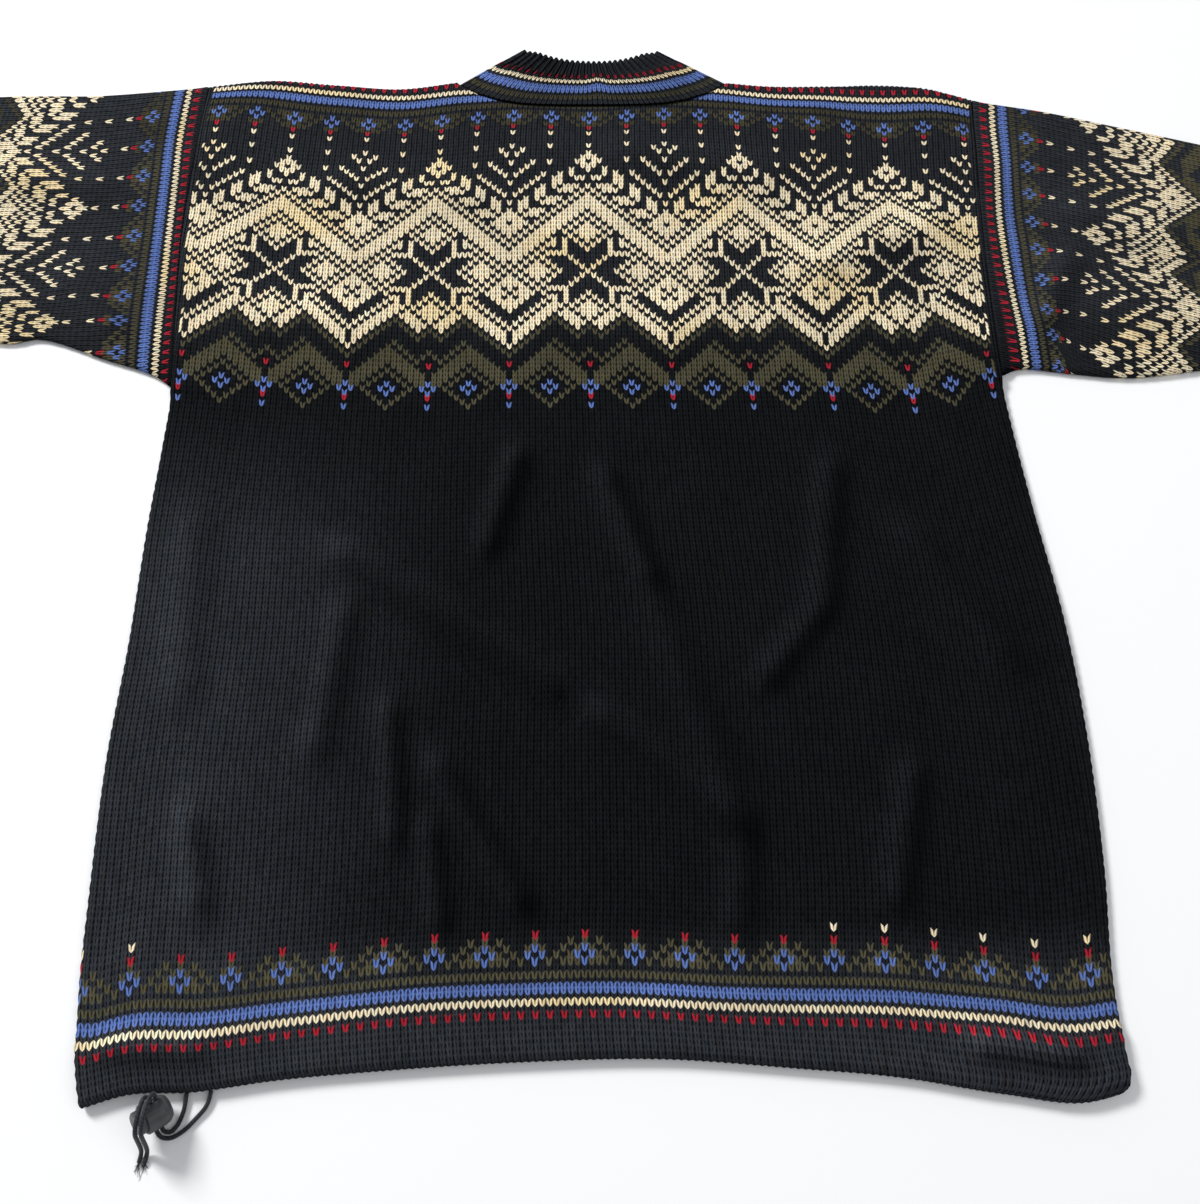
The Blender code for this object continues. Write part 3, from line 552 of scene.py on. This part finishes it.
def star_chart(c, r):
    """Yarn of stitch c, row r of the yoke, with a star every 28 stitches."""
    a, m, half, odd, beside = across_repeat(c)
    yarn, paint = chart_painter(c, r)
    up, checks = np.abs(r), (c + r) % 2 != 0
    # Star, its wedges of checks, and the lozenges in them.
    paint(cream, checks & (a + r <= 13) & (r >= 5 + a))
    paint(cream, checks & (a + r <= 13) & (a >= 5 + up))
    paint(cream, checks & (a + r <= 13) & (a >= 8) & (r >= 4))
    paint(cream, (r == -5 - a) & (a <= 3))
    paint(cream, (a == up) & (a <= 3))
    paint(cream, (a == 4) & (up >= 4) & (up <= 7))
    paint(cream, (up == 4) & (a >= 5) & (a <= 7))
    paint(cream, ((a == 6) & ((up == 6) | (up == 7))) | ((a == 7) & (up == 6)))
    paint(cream, (a + np.abs(up - 9) <= 2) | (np.abs(a - 9) + up <= 2))
    paint(cream, ((a == 1) & (r == -12)) | ((a == 8) & (r == -5)))
    # Broad zigzag over the star.
    paint(cream, (a + r >= 15) & (a + r <= 18) & (r >= 2))
    paint(black, (m == 0) & (r == 2))
    paint(cream, (m == 0) & (r == 1))
    # Lozenge between the stars, with five dark stitches in it.
    paint(cream, m + np.abs(r + 5) <= 4)
    paint(black, (m == np.abs(r + 5)) & (m <= 1))
    # Lower edge of the cream band.
    paint(cream, (r == m - 13) & (m <= 7))
    paint(cream, (r >= m - 17) & (r <= m - 15) & (m >= 1) & (m <= 8))
    paint(cream, (m == 0) & (r == -17))
    paint(cream, (r >= a - 15) & (r <= a - 13) & (a >= 2) & (a <= 5) & ~((a == 5) & (r == -9)))
    # Olive zigzag with its dotted lines, flowers under it.
    paint(olive, ((r == m - 19) & (m <= 8)) | ((r == a - 17) & (a >= 2) & (a <= 5)))
    paint(olive, ((a == 1) & (r == -14)) | ((a == 0) & (r == -13)))
    paint(olive, (r == a - 22) & (a >= 2) & (a <= 6))
    paint(olive, ((a == 1) & (r == -19)) | ((a == 0) & (r == -18)))
    paint(olive, (r <= -17 - odd) & (r >= -20 - odd) & (odd <= 6))
    paint(olive, (odd + np.abs(r + 26) == 4) & (r <= -22))
    paint(red, (half == 0) & ((r == -21) | (r == -28)))
    paint(blue, ((beside == 0) & ((r == -25) | (r == -27))) | ((beside == 1) & (r == -26)))
    paint(black, (beside == 0) & (r == -26))
    paint(blue, (half == 0) & (r == -30))
    paint_over_stars(paint, c, r, 0)
    return yarn


def hem_chart(c, h):
    """Yarn of the bands above the hem's edge, h rows up."""
    big, small = np.abs((c + 10) % 14 - 7), np.abs((c + 3) % 14 - 7)
    yarn, paint = chart_painter(c, h)
    paint(red, (h == 6) & (c % 2 == 0))
    paint(cream, h == 8)
    paint(blue, (h == 10) | (h == 11))
    paint(olive, h == 13)
    paint(olive, (h == 15) & (((big >= 1) & (big <= 3)) | (small == 2)))
    paint(olive, (h == 16) & ((big == 2) | (big == 4)))
    paint(olive, (h == 17) & ((big == 1) | (big == 3) | (small == 1)))
    paint(olive, (h == 18) & ((big == 0) | (big == 2) | (small == 0)))
    paint(blue, ((h == 15) | (h == 17)) & ((big == 0) | (small == 0)))
    paint(blue, (h == 16) & ((big == 1) | (small == 1)))
    paint(red, (h == 19) & ((big == 0) | (small == 0)))
    paint(cream, (h == 21) & ((big == 0) | (small == 0)) & ((c > 30) | (c < -60)))
    return yarn


def body_chart(c, r, x, y):
    """Yarn of a stitch of the body. The pattern stops short of the armhole seams."""
    yarn = np.where(r < plain_rows, hem_chart(c, r - hem_first_row), star_chart(c, r))
    yarn[(r > plain_rows) & (r < -31)] = black
    margin = np.where((r > 40) & (x > 0), shoulder_margin, armhole_margin)
    inset = np.minimum(x - left_side(y), right_side(y) - x)
    yarn[(r > -33) & (inset < margin)] = black
    return yarn


wool_speckle = np.random.default_rng(11)


def yarn_tints(yarn, x, y):
    """Colour of each stitch, with the small differences that wool has from its dye and its
    spinning. Black has painted light: it is paler towards the yoke, the hem, the left side
    and the sleeves. Cream is yellowed in clouds, olive is darker at the neck and paler at the
    hem, and every fold has painted light and shade: paler on its side that faces the window."""
    tint = yarn_colours[yarn]
    spread = np.where(yarn == black, 0.11, 0.07)[..., None]
    tint = tint * (1 + spread * wool_speckle.normal(0, 1, yarn.shape)[..., None])
    warm = wool_speckle.normal(0, 0.03, yarn.shape)
    tint[..., 0] *= 1 + warm
    tint[..., 2] *= 1 - warm
    clouds = np.sin(31 * x + 2) * np.sin(47 * y + 9 * x)
    yellowed = np.where(yarn == cream, smoothstep(0.2, 1.0, clouds), 0)
    tint[..., 1] *= 1 - 0.06 * yellowed
    tint[..., 2] *= 1 - 0.22 * yellowed
    at_yoke, at_hem = smoothstep(0.45, 0.55, y), 1 - smoothstep(0.02, 0.08, y)
    at_left = smoothstep(0.08, 0.27, -x) * (1 - smoothstep(0.28, 0.46, y))
    on_sleeves = smoothstep(0.29, 0.33, np.abs(x))
    # Painted light: black is paler towards the yoke, the hem, the left side and the sleeves.
    painted_light_on_black = 0.25 + 0.38 * at_yoke + 0.75 * at_hem + 0.65 * at_left + 0.22 * on_sleeves
    # Painted light and shade on the folds: paler on the slope that faces the window, darker on the
    # other.
    step = 0.003
    apart = 2.83 * step  # between the two points, which lie diagonally
    slope = (relief(x + step, y - step) - relief(x - step, y + step)) / apart
    turned = np.clip(1 + 2.0 * slope, 0.45, 1.7)
    olive_tone = 1 - 0.30 * smoothstep(0.66, 0.69, y) + 0.10 * (1 - smoothstep(0.05, 0.12, y))
    # Yarns other than black take a softer share of the painted fold light; olive is also darker at
    # the neck and paler at the hem.
    fold_light_and_olive_tone = np.sqrt(turned) * np.where(yarn == olive, olive_tone, 1)
    tone = np.where(yarn == black, np.minimum(painted_light_on_black, 1.05) * turned, fold_light_and_olive_tone)
    return np.clip(tint * tone[..., None], 0.002, 0.95)


def knit(name, wide, tall, place, chart, wool, legs=2):
    """Knitted cloth from a grid: legs columns to a stitch, one row of faces to a row.
    place gives points and which of them are past an edge, chart the colour of each face."""
    grid = bmesh.new()
    grid.loops.layers.uv.new("stitches")
    bmesh.ops.create_grid(grid, x_segments=wide * legs, y_segments=tall, size=0.5, calc_uvs=True)
    mesh = bpy.data.meshes.new(name)
    grid.to_mesh(mesh)
    grid.free()
    flat = np.empty(len(mesh.vertices) * 3)
    mesh.vertices.foreach_get("co", flat)
    flat = flat.reshape(-1, 3)
    i = np.rint((flat[:, 0] + 0.5) * wide * legs).astype(int)
    j = np.rint((flat[:, 1] + 0.5) * tall).astype(int)
    corner = np.empty(len(mesh.loops), int)
    mesh.loops.foreach_get("vertex_index", corner)
    corner = corner.reshape(-1, 4)
    stitch, row = i[corner].min(axis=1), j[corner].min(axis=1)
    points, past = place(i, j)
    mesh.vertices.foreach_set("co", (points + hem_middle).ravel())
    middle = points[corner].mean(axis=1)
    tints = chart(stitch, row, middle[:, 0], middle[:, 1])
    colours = mesh.color_attributes.new("yarn", "FLOAT_COLOR", "CORNER")
    shades = np.ones((len(corner), 4, 4))
    shades[..., :3] = tints[:, None, :]
    colours.data.foreach_set("color", shades.ravel())
    hidden = past[corner].all(axis=1)

    trimmed = bmesh.new()
    trimmed.from_mesh(mesh)
    trimmed.faces.ensure_lookup_table()
    cut_off = [trimmed.faces[k] for k in np.flatnonzero(hidden)]
    bmesh.ops.delete(trimmed, geom=cut_off, context="FACES")
    bmesh.ops.remove_doubles(trimmed, verts=trimmed.verts, dist=0.00002)
    trimmed.to_mesh(mesh)
    trimmed.free()
    mesh.materials.append(wool)
    mesh.shade_smooth()
    return mesh


def knit_wool(name, wide, tall, legs=2):
    """Stranded wool. Each stitch is a V of two plump, hairy legs, with deep gaps beside its
    point and between its tops, and painted shade in those gaps."""
    nap = {"Specular IOR Level": 0.01, "Sheen Weight": 0.01, "Sheen Roughness": 0.5}
    material, nodes, links, shader = new_material(name, {"Roughness": 0.93, **nap})
    uv = node(nodes, "SeparateXYZ")
    links.new(node(nodes, "UVMap", uv_map="stitches").outputs["UV"], uv.inputs[0])
    across = maths(nodes, links, "MULTIPLY", uv.outputs["X"], float(wide))
    across = maths(nodes, links, "MULTIPLY", maths(nodes, links, "FRACT", across), legs / 2)
    across = maths(nodes, links, "MINIMUM", across, 1.0)
    leg = maths(nodes, links, "ABSOLUTE", maths(nodes, links, "MULTIPLY_ADD", across, 2.0, -1.0))
    along = maths(nodes, links, "MULTIPLY", uv.outputs["Y"], float(tall))
    along = maths(nodes, links, "FRACT", along)
    middle = maths(nodes, links, "MULTIPLY_ADD", along, 0.34, 0.27)
    off = maths(nodes, links, "ABSOLUTE", maths(nodes, links, "SUBTRACT", leg, middle))
    ends = {"From Min": 0.20, "From Max": 0.68, "To Min": 1.0, "To Max": 0.0}
    strand = node(nodes, "MapRange", interpolation_type="SMOOTHSTEP", **ends)
    links.new(off, strand.inputs["Value"])
    strand = strand.outputs["Result"]
    hair = texture(nodes, links, "TexNoise", Scale=1500, Detail=4, Roughness=0.65)
    patch = texture(nodes, links, "TexNoise", Scale=22, Detail=3)
    yarn = node(nodes, "Attribute", attribute_name="yarn")
    # Painted shade: the yarn's colour darkens in the gaps between the legs and between the rows.
    deep = maths(nodes, links, "MULTIPLY_ADD", strand, 0.93, 0.07)
    fluff = maths(nodes, links, "MULTIPLY_ADD", hair, 0.9, 0.55)
    worn = maths(nodes, links, "MULTIPLY_ADD", patch, 0.5, 0.75)
    shade = maths(nodes, links, "MULTIPLY", maths(nodes, links, "MULTIPLY", deep, fluff), worn)
    colour = node(nodes, "VectorMath", operation="SCALE")
    links.new(yarn.outputs["Color"], colour.inputs[0])
    links.new(shade, colour.inputs["Scale"])
    links.new(colour.outputs[0], shader.inputs["Base Color"])
    height = maths(nodes, links, "MULTIPLY_ADD", hair, 0.35, strand)
    raise_surface(nodes, links, shader, height, 1.0, 0.0010)
    return material


body_wide, body_tall = last_column - first_column, last_row - first_row
body_wool = knit_wool("black_star_wool", body_wide, body_tall)


def body_plan(i, j, neck):
    """Plan of the body's cloth at a grid point, and how it rolls over its edges."""
    rows = first_row + j - lean_of_v * (i % 2)
    share = through(column_numbers, column_shares, first_column + i / 2)
    level = through(row_numbers, row_heights, rows)
    column = first_column + i / 2 - 0.5
    aside = pulled(pulled_aside, pulled_rows, pulled_columns, column, rows)
    up = pulled(pulled_up, pulled_rows, pulled_columns, column, rows)
    y = level + up
    for _ in range(4):  # x and y hang on each other, so both are worked out a few times
        left, right = left_side(y), right_side(y)
        x = left + (right - left) * share + aside
        drop = hem_edge(x) * np.clip(1 - level / drop_ends, 0, 1)
        lift = through(shoulder_across, shoulder_heights, x) - shoulder_level
        y = level + drop + lift * smoothstep(lift_starts, shoulder_level, level) + up
    folded = 1 - smoothstep(armhole_foot - armhole_blend, armhole_foot, y)
    ragged = seam / 2 * (1 - folded) - edge_scallop * folded * (j % 2)
    left, right = left_side(y) - ragged, right_side(y) + ragged
    on_left = x - left < right - x
    side_roll = seam_roll + (edge_roll - seam_roll) * folded
    side, side_rise, side_past = rolled(np.minimum(x - left, right - x), side_roll)
    x = np.where(on_left, left + side, right - side)
    low, high = hem_edge(x) + edge_scallop * (i % 2), top_edge(x, neck)
    near_hem = y - low < high - y
    end, end_rise, end_past = rolled(np.minimum(y - low, high - y), edge_roll)
    y = np.where(near_hem, low + end, high - end)
    at_neck = (x > neck_left[0]) & (x < neck_right[0]) & ~near_hem
    return x, y, folded, side, side_rise, end, end_rise, at_neck, side_past | end_past


def hem_share(x, y):
    return 1 - smoothstep(hem_depth - hem_blend, hem_depth + hem_blend, y - hem_edge(x))


def back_place(i, j):
    x, y, folded, side, side_rise, end, end_rise, at_neck, past = body_plan(i, j, back_neck)
    thick = wall + (hem_wall - wall) * hem_share(x, y)
    nearest = np.minimum(np.where(folded > 0, side, puff_reach), end)
    top = 2 * thick + seam + puff_most * smoothstep(0, puff_reach, nearest) + relief(x, y)
    rim = thick + seam / 2
    side_depth = (top - rim) * folded + seam_dip * (1 - folded)
    end_depth = np.where(at_neck, neck_dip, top - rim)
    z = top - side_depth * (1 - side_rise) - end_depth * (1 - end_rise)
    z = z - np.where(i % 2 == 0, point_dip, 0.0)
    return np.stack([x, y, np.maximum(z, rim)], axis=-1), past


def body_tints(stitch, row, x, y):
    yarn = body_chart(first_column + stitch // 2, first_row + row, x, y)
    return yarn_tints(yarn, x, y)


back = laid_on_table(
    "knitted_back", knit("knitted_back", body_wide, body_tall, back_place, body_tints, body_wool),
    "body_wool", "back_panel",
)

# ---- Front of the body ----
# The lower layer, which the sweater rests on: the same knitting as the back, with a lower
# neckline. It lies flat on the table and rolls up at its edges to meet the back.


def front_place(i, j):
    x, y, folded, _, side_rise, _, end_rise, at_neck, past = body_plan(i, j, front_neck)
    thick = wall + (hem_wall - wall) * hem_share(x, y)
    rim = thick + seam / 2
    side_depth = rim * folded + seam_dip * (1 - folded)
    end_depth = np.where(at_neck, seam_dip, rim)
    z = side_depth * (1 - side_rise) + end_depth * (1 - end_rise)
    return np.stack([x, y, np.minimum(z, rim)], axis=-1), past


front_mesh = knit("knitted_front", body_wide, body_tall, front_place, body_tints, body_wool)
front_mesh.flip_normals()
front = laid_on_table("knitted_front", front_mesh, "body_wool", "front_panel")

# ---- Sleeves ----
# Each is a tapered tube laid flat, sewn into the armhole with its stripes along the seam.
# The top of the yoke's pattern runs across it, closed by an olive zigzag, then plain black.
sleeve_lines = {  # fold_x, fold_y, under_x, under_y, from the armhole to the cuff
    "left": (
        (-0.3063, -0.345, -0.393, -0.432, -0.472, -0.56, -0.65, -0.729),
        (0.7435, 0.74, 0.7355, 0.736, 0.736, 0.733, 0.73, 0.7275),
        (-0.2993, -0.327, -0.354, -0.4, -0.44, -0.55, -0.645, -0.727),
        (0.453, 0.471, 0.484, 0.502, 0.501, 0.539, 0.58, 0.617),
    ),
    "right": (
        (0.3153, 0.341, 0.373, 0.427, 0.484, 0.56, 0.645, 0.719),
        (0.7165, 0.711, 0.702, 0.685, 0.667, 0.643, 0.616, 0.5925),
        (0.2958, 0.318, 0.35, 0.389, 0.438, 0.54, 0.622, 0.687),
        (0.453, 0.462, 0.457, 0.453, 0.458, 0.474, 0.483, 0.488),
    ),
}
tube_half = wall + seam / 2
fold_run = (math.pi / 2 - 1) * tube_half  # how much more cloth a fold takes than its plan
stitch_width = 0.00422
sleeve_half = 70  # stitches in a layer
sleeve_first, sleeve_last = -66, 52  # rows, counted as on the body
sleeve_rows = 0.2 + np.array(
    (-67, -31, 0, 11, 17, 21, 26, 30, 34, 36, 39, 42, 44.5, 47, 49, 50.5, 52)
)
sleeve_runs = (
    0.4450, 0.3160, 0.1915, 0.1480, 0.1265, 0.1080, 0.0865, 0.0703, 0.0550,
    0.0480, 0.0380, 0.0285, 0.0215, 0.0135, 0.0066, 0.0, -0.0060,
)
sleeve_guides = 90  # lines along the sleeve on which its rows are measured out
bow_share = 5 / 16  # of the sleeve, that bends to the armhole's curve

# How far the sleeves' knitting is pulled out of true, in millimetres: down from the fold and
# out from the armhole, a line for each of some rows, across some columns.
sleeve_columns = (0, 7, 14, 21, 28, 35, 42, 49, 56, 70)
sleeve_pulled_rows = (30, 39, 48)
pulled_down = {
    "left": (
        (3.0, 5.2, 7.5, 8.7, 7.0, 7.2, 6.4, 3.0, -5.0, -7.0),
        (0.0, 3.3, 5.5, 6.2, 6.3, 6.3, 4.7, 3.7, -3.3, -6.0),
        (0.0, 3.3, 5.5, 6.2, 6.3, 6.3, 4.7, 3.7, -3.3, -6.0),
    ),
    "right": (
        (3.0, 6.5, 5.5, 4.5, 3.5, -4.0, -9.5, -9.0, -8.0, -8.0),
        (0.0, 3.6, 4.8, 2.6, 1.0, -3.0, -3.0, -4.0, -14.0, -17.0),
        (0.0, 3.6, 4.8, 2.6, 1.0, -2.0, -3.0, -3.0, -10.0, -12.0),
    ),
}
pulled_out = {
    "left": (
        (4.0, 3.9, 1.7, -0.6, -0.6, 1.7, 3.2, 6.6, 10.2, 11.0),
        (1.7, 1.7, 0.8, -0.6, -1.4, -1.7, -0.3, 1.7, 2.5, 3.0),
        (0.9, 0.9, 0.3, -1.5, -2.9, -3.5, -3.6, -3.0, -2.2, -1.0),
    ),
    "right": (
        (6.0, 5.5, 3.3, 0.4, -0.7, 0.4, 1.9, -2.5, -7.0, -8.0),
        (3.0, 2.6, 1.2, 0.4, 0.4, 1.9, 1.9, 1.9, 4.8, 6.0),
        (1.9, 1.0, 2.0, 1.0, 0.0, 0.5, 2.0, 4.0, 5.7, 6.0),
    ),
}


def sleeve_chart(c, r):
    """Yarn of a sleeve: the top of the star band, closed by a check wedge, a lozenge and a
    chevron in place of each star, and an olive zigzag."""
    a, m, half, _, _ = across_repeat(c)
    yarn, paint = chart_painter(c, r)
    paint(cream, ((c + r) % 2 == 0) & (a + r <= 18) & (r >= 15) & (a <= 5))
    paint(cream, a + np.abs(r - 14) <= 2)
    paint(cream, (r >= a + 9) & (r <= a + 10) & (a >= 1) & (a <= 5))
    paint(olive, ((r == a + 7) & (a <= 6)) | ((r == m + 4) & (m <= 7)))
    paint(olive, (r >= half + 1) & (r <= half + 4) & (r < 9))
    paint_over_stars(paint, c, r, 7)
    yarn[(r < -1) | (r > 49)] = black
    return yarn


def sleeve_place(side):
    fold_x, fold_y, under_x, under_y = sleeve_lines[side]
    sign = -1 if side == "left" else 1
    armhole = left_side if side == "left" else right_side
    known, t = np.linspace(0, 1, len(fold_x)), np.linspace(0, 1, 401)
    fold_y = np.array(fold_y) + shoulder_fullness * (1 - smoothstep(0.55, 1, known))
    lines = [through(known, table, t) for table in (fold_x, fold_y, under_x, under_y)]
    widths = np.hypot(lines[0] - lines[2], lines[1] - lines[3])

    def on_cloth(at, down):
        """Plan point at a share along the sleeve, and a distance down from its fold."""
        fx, fy, ux, uy, width = (np.interp(at, t, line) for line in (*lines, widths))
        share = 1 - down / width
        x, y = ux + (fx - ux) * share, uy + (fy - uy) * share
        bow = np.maximum(0, 1 - at / bow_share) ** 2
        return x + bow * (armhole(y) + sign * seam / 2 - x), y, width, bow

    def place(i, j):
        upper, column = i / 2 >= sleeve_half, np.abs(i / 2 - sleeve_half)
        rows = sleeve_first + j - lean_of_v * (i % 2)
        out = pulled(pulled_out[side], sleeve_pulled_rows, sleeve_columns, column, rows)
        droop = pulled(pulled_down[side], sleeve_pulled_rows, sleeve_columns, column, rows)
        off_seam, off_fold = 1 - smoothstep(49.3, 51, rows), smoothstep(0, 4, column)
        level = through(sleeve_rows, sleeve_runs, rows) + out * off_seam
        run, seam_rise, past_seam = rolled(level, seam_roll)
        distance = column * stitch_width + droop * off_fold
        over, over_rise, _ = rolled(distance - fold_run, tube_half)
        known_down = np.linspace(0, distance.max(), sleeve_guides)
        reach = []
        for d in known_down:
            x, y, _, _ = on_cloth(t, d)
            reach.append(np.concatenate([[0], np.cumsum(np.hypot(np.diff(x), np.diff(y)))]))
        at_known = np.stack([np.interp(np.maximum(run, 0), length, t) for length in reach])
        between = np.clip(distance / known_down[1], 0, sleeve_guides - 1.001)
        below, each = between.astype(int), np.arange(len(i))
        before, after = at_known[below, each], at_known[below + 1, each]
        at = before + (after - before) * (between - below)
        width = on_cloth(at, 0.0)[2]
        under, under_rise, past_under = rolled(width - over, tube_half)
        x, y, _, bow = on_cloth(at, width - under)
        puff = smoothstep(0, puff_reach, np.minimum(over, under))
        rise = over_rise * under_rise
        top = 2 * tube_half + puff_most * (puff * (1 - bow) + bow) + relief(x, y)
        sunk = seam_dip * (1 - seam_rise)
        above = tube_half + (top - tube_half - sunk) * rise - point_dip * rise * (i % 2 == 0)
        z = np.where(upper, above, tube_half - (tube_half - sunk) * rise)
        return np.stack([x, y, z], axis=-1), past_under | past_seam | (at >= 1)

    return place


sleeve_wide, sleeve_tall = 2 * sleeve_half, sleeve_last - sleeve_first
for side, shift in (("left", 1), ("right", 0)):
    name = "knitted_sleeve_" + side
    wool = knit_wool("sleeve_wool_" + side, sleeve_wide, sleeve_tall)

    def sleeve_tints(stitch, row, x, y):
        column = np.abs(stitch // 2 - sleeve_half + 0.5).astype(int)
        return yarn_tints(sleeve_chart(column + shift, sleeve_first + row), x, y)

    mesh = knit(name, sleeve_wide, sleeve_tall, sleeve_place(side), sleeve_tints, wool)
    sleeve = laid_on_table(name, mesh, "sleeve_wool", "sleeve_" + side)

# ---- Cuffs ----
# Bands of the same black wool without a pattern, knitted on to the sleeves' ends. Each tapers
# a little to the wrist, where it is turned in.
cuff_half, cuff_tall, cuff_turn = 29, 16, 6  # stitches in a layer, rows outside and inside
cuff_wide, cuff_rows = 2 * cuff_half, cuff_tall + cuff_turn
cuff_length, cuff_taper, cuff_lap = 0.055, 0.04, 0.0004


def lining_height(outer, upper):
    """Height of knitting turned in behind the outer knitting, up to where the layers meet."""
    beneath, above = np.maximum(outer - wall, tube_half), np.minimum(outer + wall, tube_half)
    return np.where(upper, beneath, above)


def cuff_place(side):
    fold_x, fold_y, under_x, under_y = sleeve_lines[side]
    end_fold = np.array((fold_x[-1], fold_y[-1]))
    end_under = np.array((under_x[-1], under_y[-1]))
    across, middle = end_fold - end_under, (end_fold + end_under) / 2
    end_width = np.linalg.norm(across)
    out = np.array((-across[1], across[0])) / end_width * (1 if side == "left" else -1)

    def place(i, j):
        column = np.abs(i / 2 - cuff_half) / cuff_half
        upper = i / 2 >= cuff_half
        step = cuff_length / cuff_tall
        row = j - lean_of_v * (i % 2) * ((j > 0) & (j < cuff_rows))
        outside = np.clip(row, 0, cuff_tall) * step
        inward = np.clip(row - cuff_tall, 0, None) * step
        bulge = wall / 2
        turned_in = smoothstep(0, 2.4 * bulge, inward)
        along = np.where(inward > 0, cuff_length - np.maximum(0, inward - 1.2 * bulge), outside)
        width = end_width * (1 - cuff_taper * along / cuff_length)
        width = width - 2 * (wall - cuff_lap) * turned_in
        down = rolled(column * width - fold_run * (1 - column * 2), tube_half)[0]
        share = np.clip(down / width, 0, 1)
        edge = np.minimum(share, 1 - share) * width
        rise = rolled(edge - fold_run * (edge < tube_half), tube_half)[1]
        high = 2 * tube_half + puff_most * smoothstep(0, puff_reach, edge)
        outer = np.where(upper, tube_half + (high - tube_half) * rise, tube_half * (1 - rise))
        z = outer + (lining_height(outer, upper) - outer) * turned_in
        from_middle = np.outer(0.5 - share, across) * (width / end_width)[:, None]
        plan = middle + np.outer(seam / 2 + along, out) + from_middle
        return np.column_stack([plan, z]), np.zeros(len(i), bool)

    return place


def cuff_tints(stitch, row, x, y):
    return yarn_tints(np.zeros(len(stitch), int), x, y)


for side in ("left", "right"):
    name = "knitted_cuff_" + side
    wool = knit_wool("cuff_wool_" + side, cuff_wide, cuff_rows)
    mesh = knit(name, cuff_wide, cuff_rows, cuff_place(side), cuff_tints, wool)
    cuff = laid_on_table(name, mesh, "cuff_wool", "cuff_" + side)

# ---- Collar ----
# A mock neck knitted on to the neckline: stripes at its base, then ribs up to the rim. Its
# back lies over its front, and its knitting goes on down the inside.
rim_left, rim_right = (-0.051, 0.7855), (0.062, 0.7815)
back_dip, front_dip, rim_sag = 0.0180, 0.052, 2.3
rib_count = 52  # stitches in a layer
collar_tall, collar_turn, collar_inside = 15, 1, 12  # rows outside, over the rim and inside
collar_wide, collar_rows = 2 * rib_count, collar_tall + collar_turn + collar_inside
last_stripe = 9
plain_legs, ribbed_legs = (0.0, 0.50, 0.97), (0.0, 0.36, 0.72)  # where a stitch's legs start
rim_groove, side_groove, stitch_groove = 0.0018, 0.0010, 0.0005
collar_stand, collar_v = 0.0030, 0.6  # its height; a stitch's point, in rows
peak_rise, peak_x, peak_width = 0.0028, 0.0105, 0.0065  # the stripes' small upward bend


def collar_place(i, j):
    rib, part = np.divmod(i, 3)
    ribs = smoothstep(last_stripe + 0.5, last_stripe + 2, j)
    leg = np.choose(part, plain_legs) * (1 - ribs) + np.choose(part, ribbed_legs) * ribs
    around = rib % collar_wide + leg
    back_layer = around < rib_count
    share = np.where(back_layer, around, collar_wide - around) / rib_count
    pointed = (part == 1) & (j > 0) & (j < collar_rows) & (j != collar_tall)
    row = j - collar_v * pointed
    climb = np.clip(row / collar_tall, 0, 1)
    inward = np.clip(row - collar_tall, 0, None)
    inner = smoothstep(0, collar_turn, inward)
    climb = np.where(inward > 0, 1 - np.maximum(0, inward - 0.5) / collar_tall, climb)
    width = neck_right[0] - neck_left[0]
    share = (wall * inner + (width - 2 * wall * inner) * share) / width
    base_x = neck_left[0] + width * share
    back_base, front_base = neck_edge(base_x, back_neck), neck_edge(base_x, front_neck)
    base_y = np.where(back_layer, back_base, front_base) - seam / 2
    dip = np.where(back_layer, back_dip, front_dip)
    groove = 0.5 + 0.5 * np.cos(math.pi * (rib + part / 3))  # the ribs are two stitches wide
    sag = dip * (1 - np.abs(2 * share - 1) ** rim_sag) + rim_groove * groove * ribs
    rim_x = rim_left[0] + (rim_right[0] - rim_left[0]) * share
    rim_y = rim_left[1] + (rim_right[1] - rim_left[1]) * share - sag
    x, y = base_x + (rim_x - base_x) * climb, base_y + (rim_y - base_y) * climb
    peak = peak_rise * np.exp(-(((x - peak_x) / peak_width) ** 2))
    y = y + peak * climb * (1 - climb) * 4 * back_layer
    edge = np.minimum(share, 1 - share) * width
    fall = tube_half * (1 - np.sqrt(1 - (1 - np.clip(edge / tube_half, 0, 1)) ** 2))
    stand = puff_most + collar_stand * smoothstep(0, 0.5, climb)
    back_height = 2 * tube_half - fall + stand * smoothstep(0, 0.030, edge)
    outer = np.where(back_layer, back_height, fall)
    z = outer + (lining_height(outer, back_layer) - outer) * inner
    ribbed = smoothstep(0.42, 0.62, climb) * smoothstep(0.002, 0.008, edge) * (1 - inner)
    sunk = (side_groove * groove + stitch_groove * (part == 0)) * ribbed
    z = z - sunk * np.where(back_layer, 1, -1)
    return np.column_stack([x, y, np.maximum(z, 0.0)]), np.zeros(len(i), bool)


def collar_tints(stitch, row, x, y):
    column, part = np.divmod(stitch, 3)
    yarn = np.zeros(len(stitch), int)
    yarn[row == 2] = olive
    yarn[(row == 4) | (row == 5)] = blue
    yarn[row == 7] = cream
    yarn[(row == last_stripe) & (column % 2 == 0) & (part < 2)] = red
    tints = yarn_tints(yarn, x, y)
    # Painted shade in the gaps between the ribs, deeper in every second one.
    gap = (part == 2) & (row > last_stripe)
    tints[gap] = tints[gap] * np.where(column % 2 == 1, 0.40, 0.75)[gap, None]
    tints[row == last_stripe] *= 0.6
    return tints


collar_wool = knit_wool("collar_wool", collar_wide, collar_rows, legs=3)
collar_mesh = knit(
    "knitted_collar", collar_wide, collar_rows, collar_place, collar_tints, collar_wool, legs=3
)
collar = laid_on_table("knitted_collar", collar_mesh, "collar_wool", "collar")
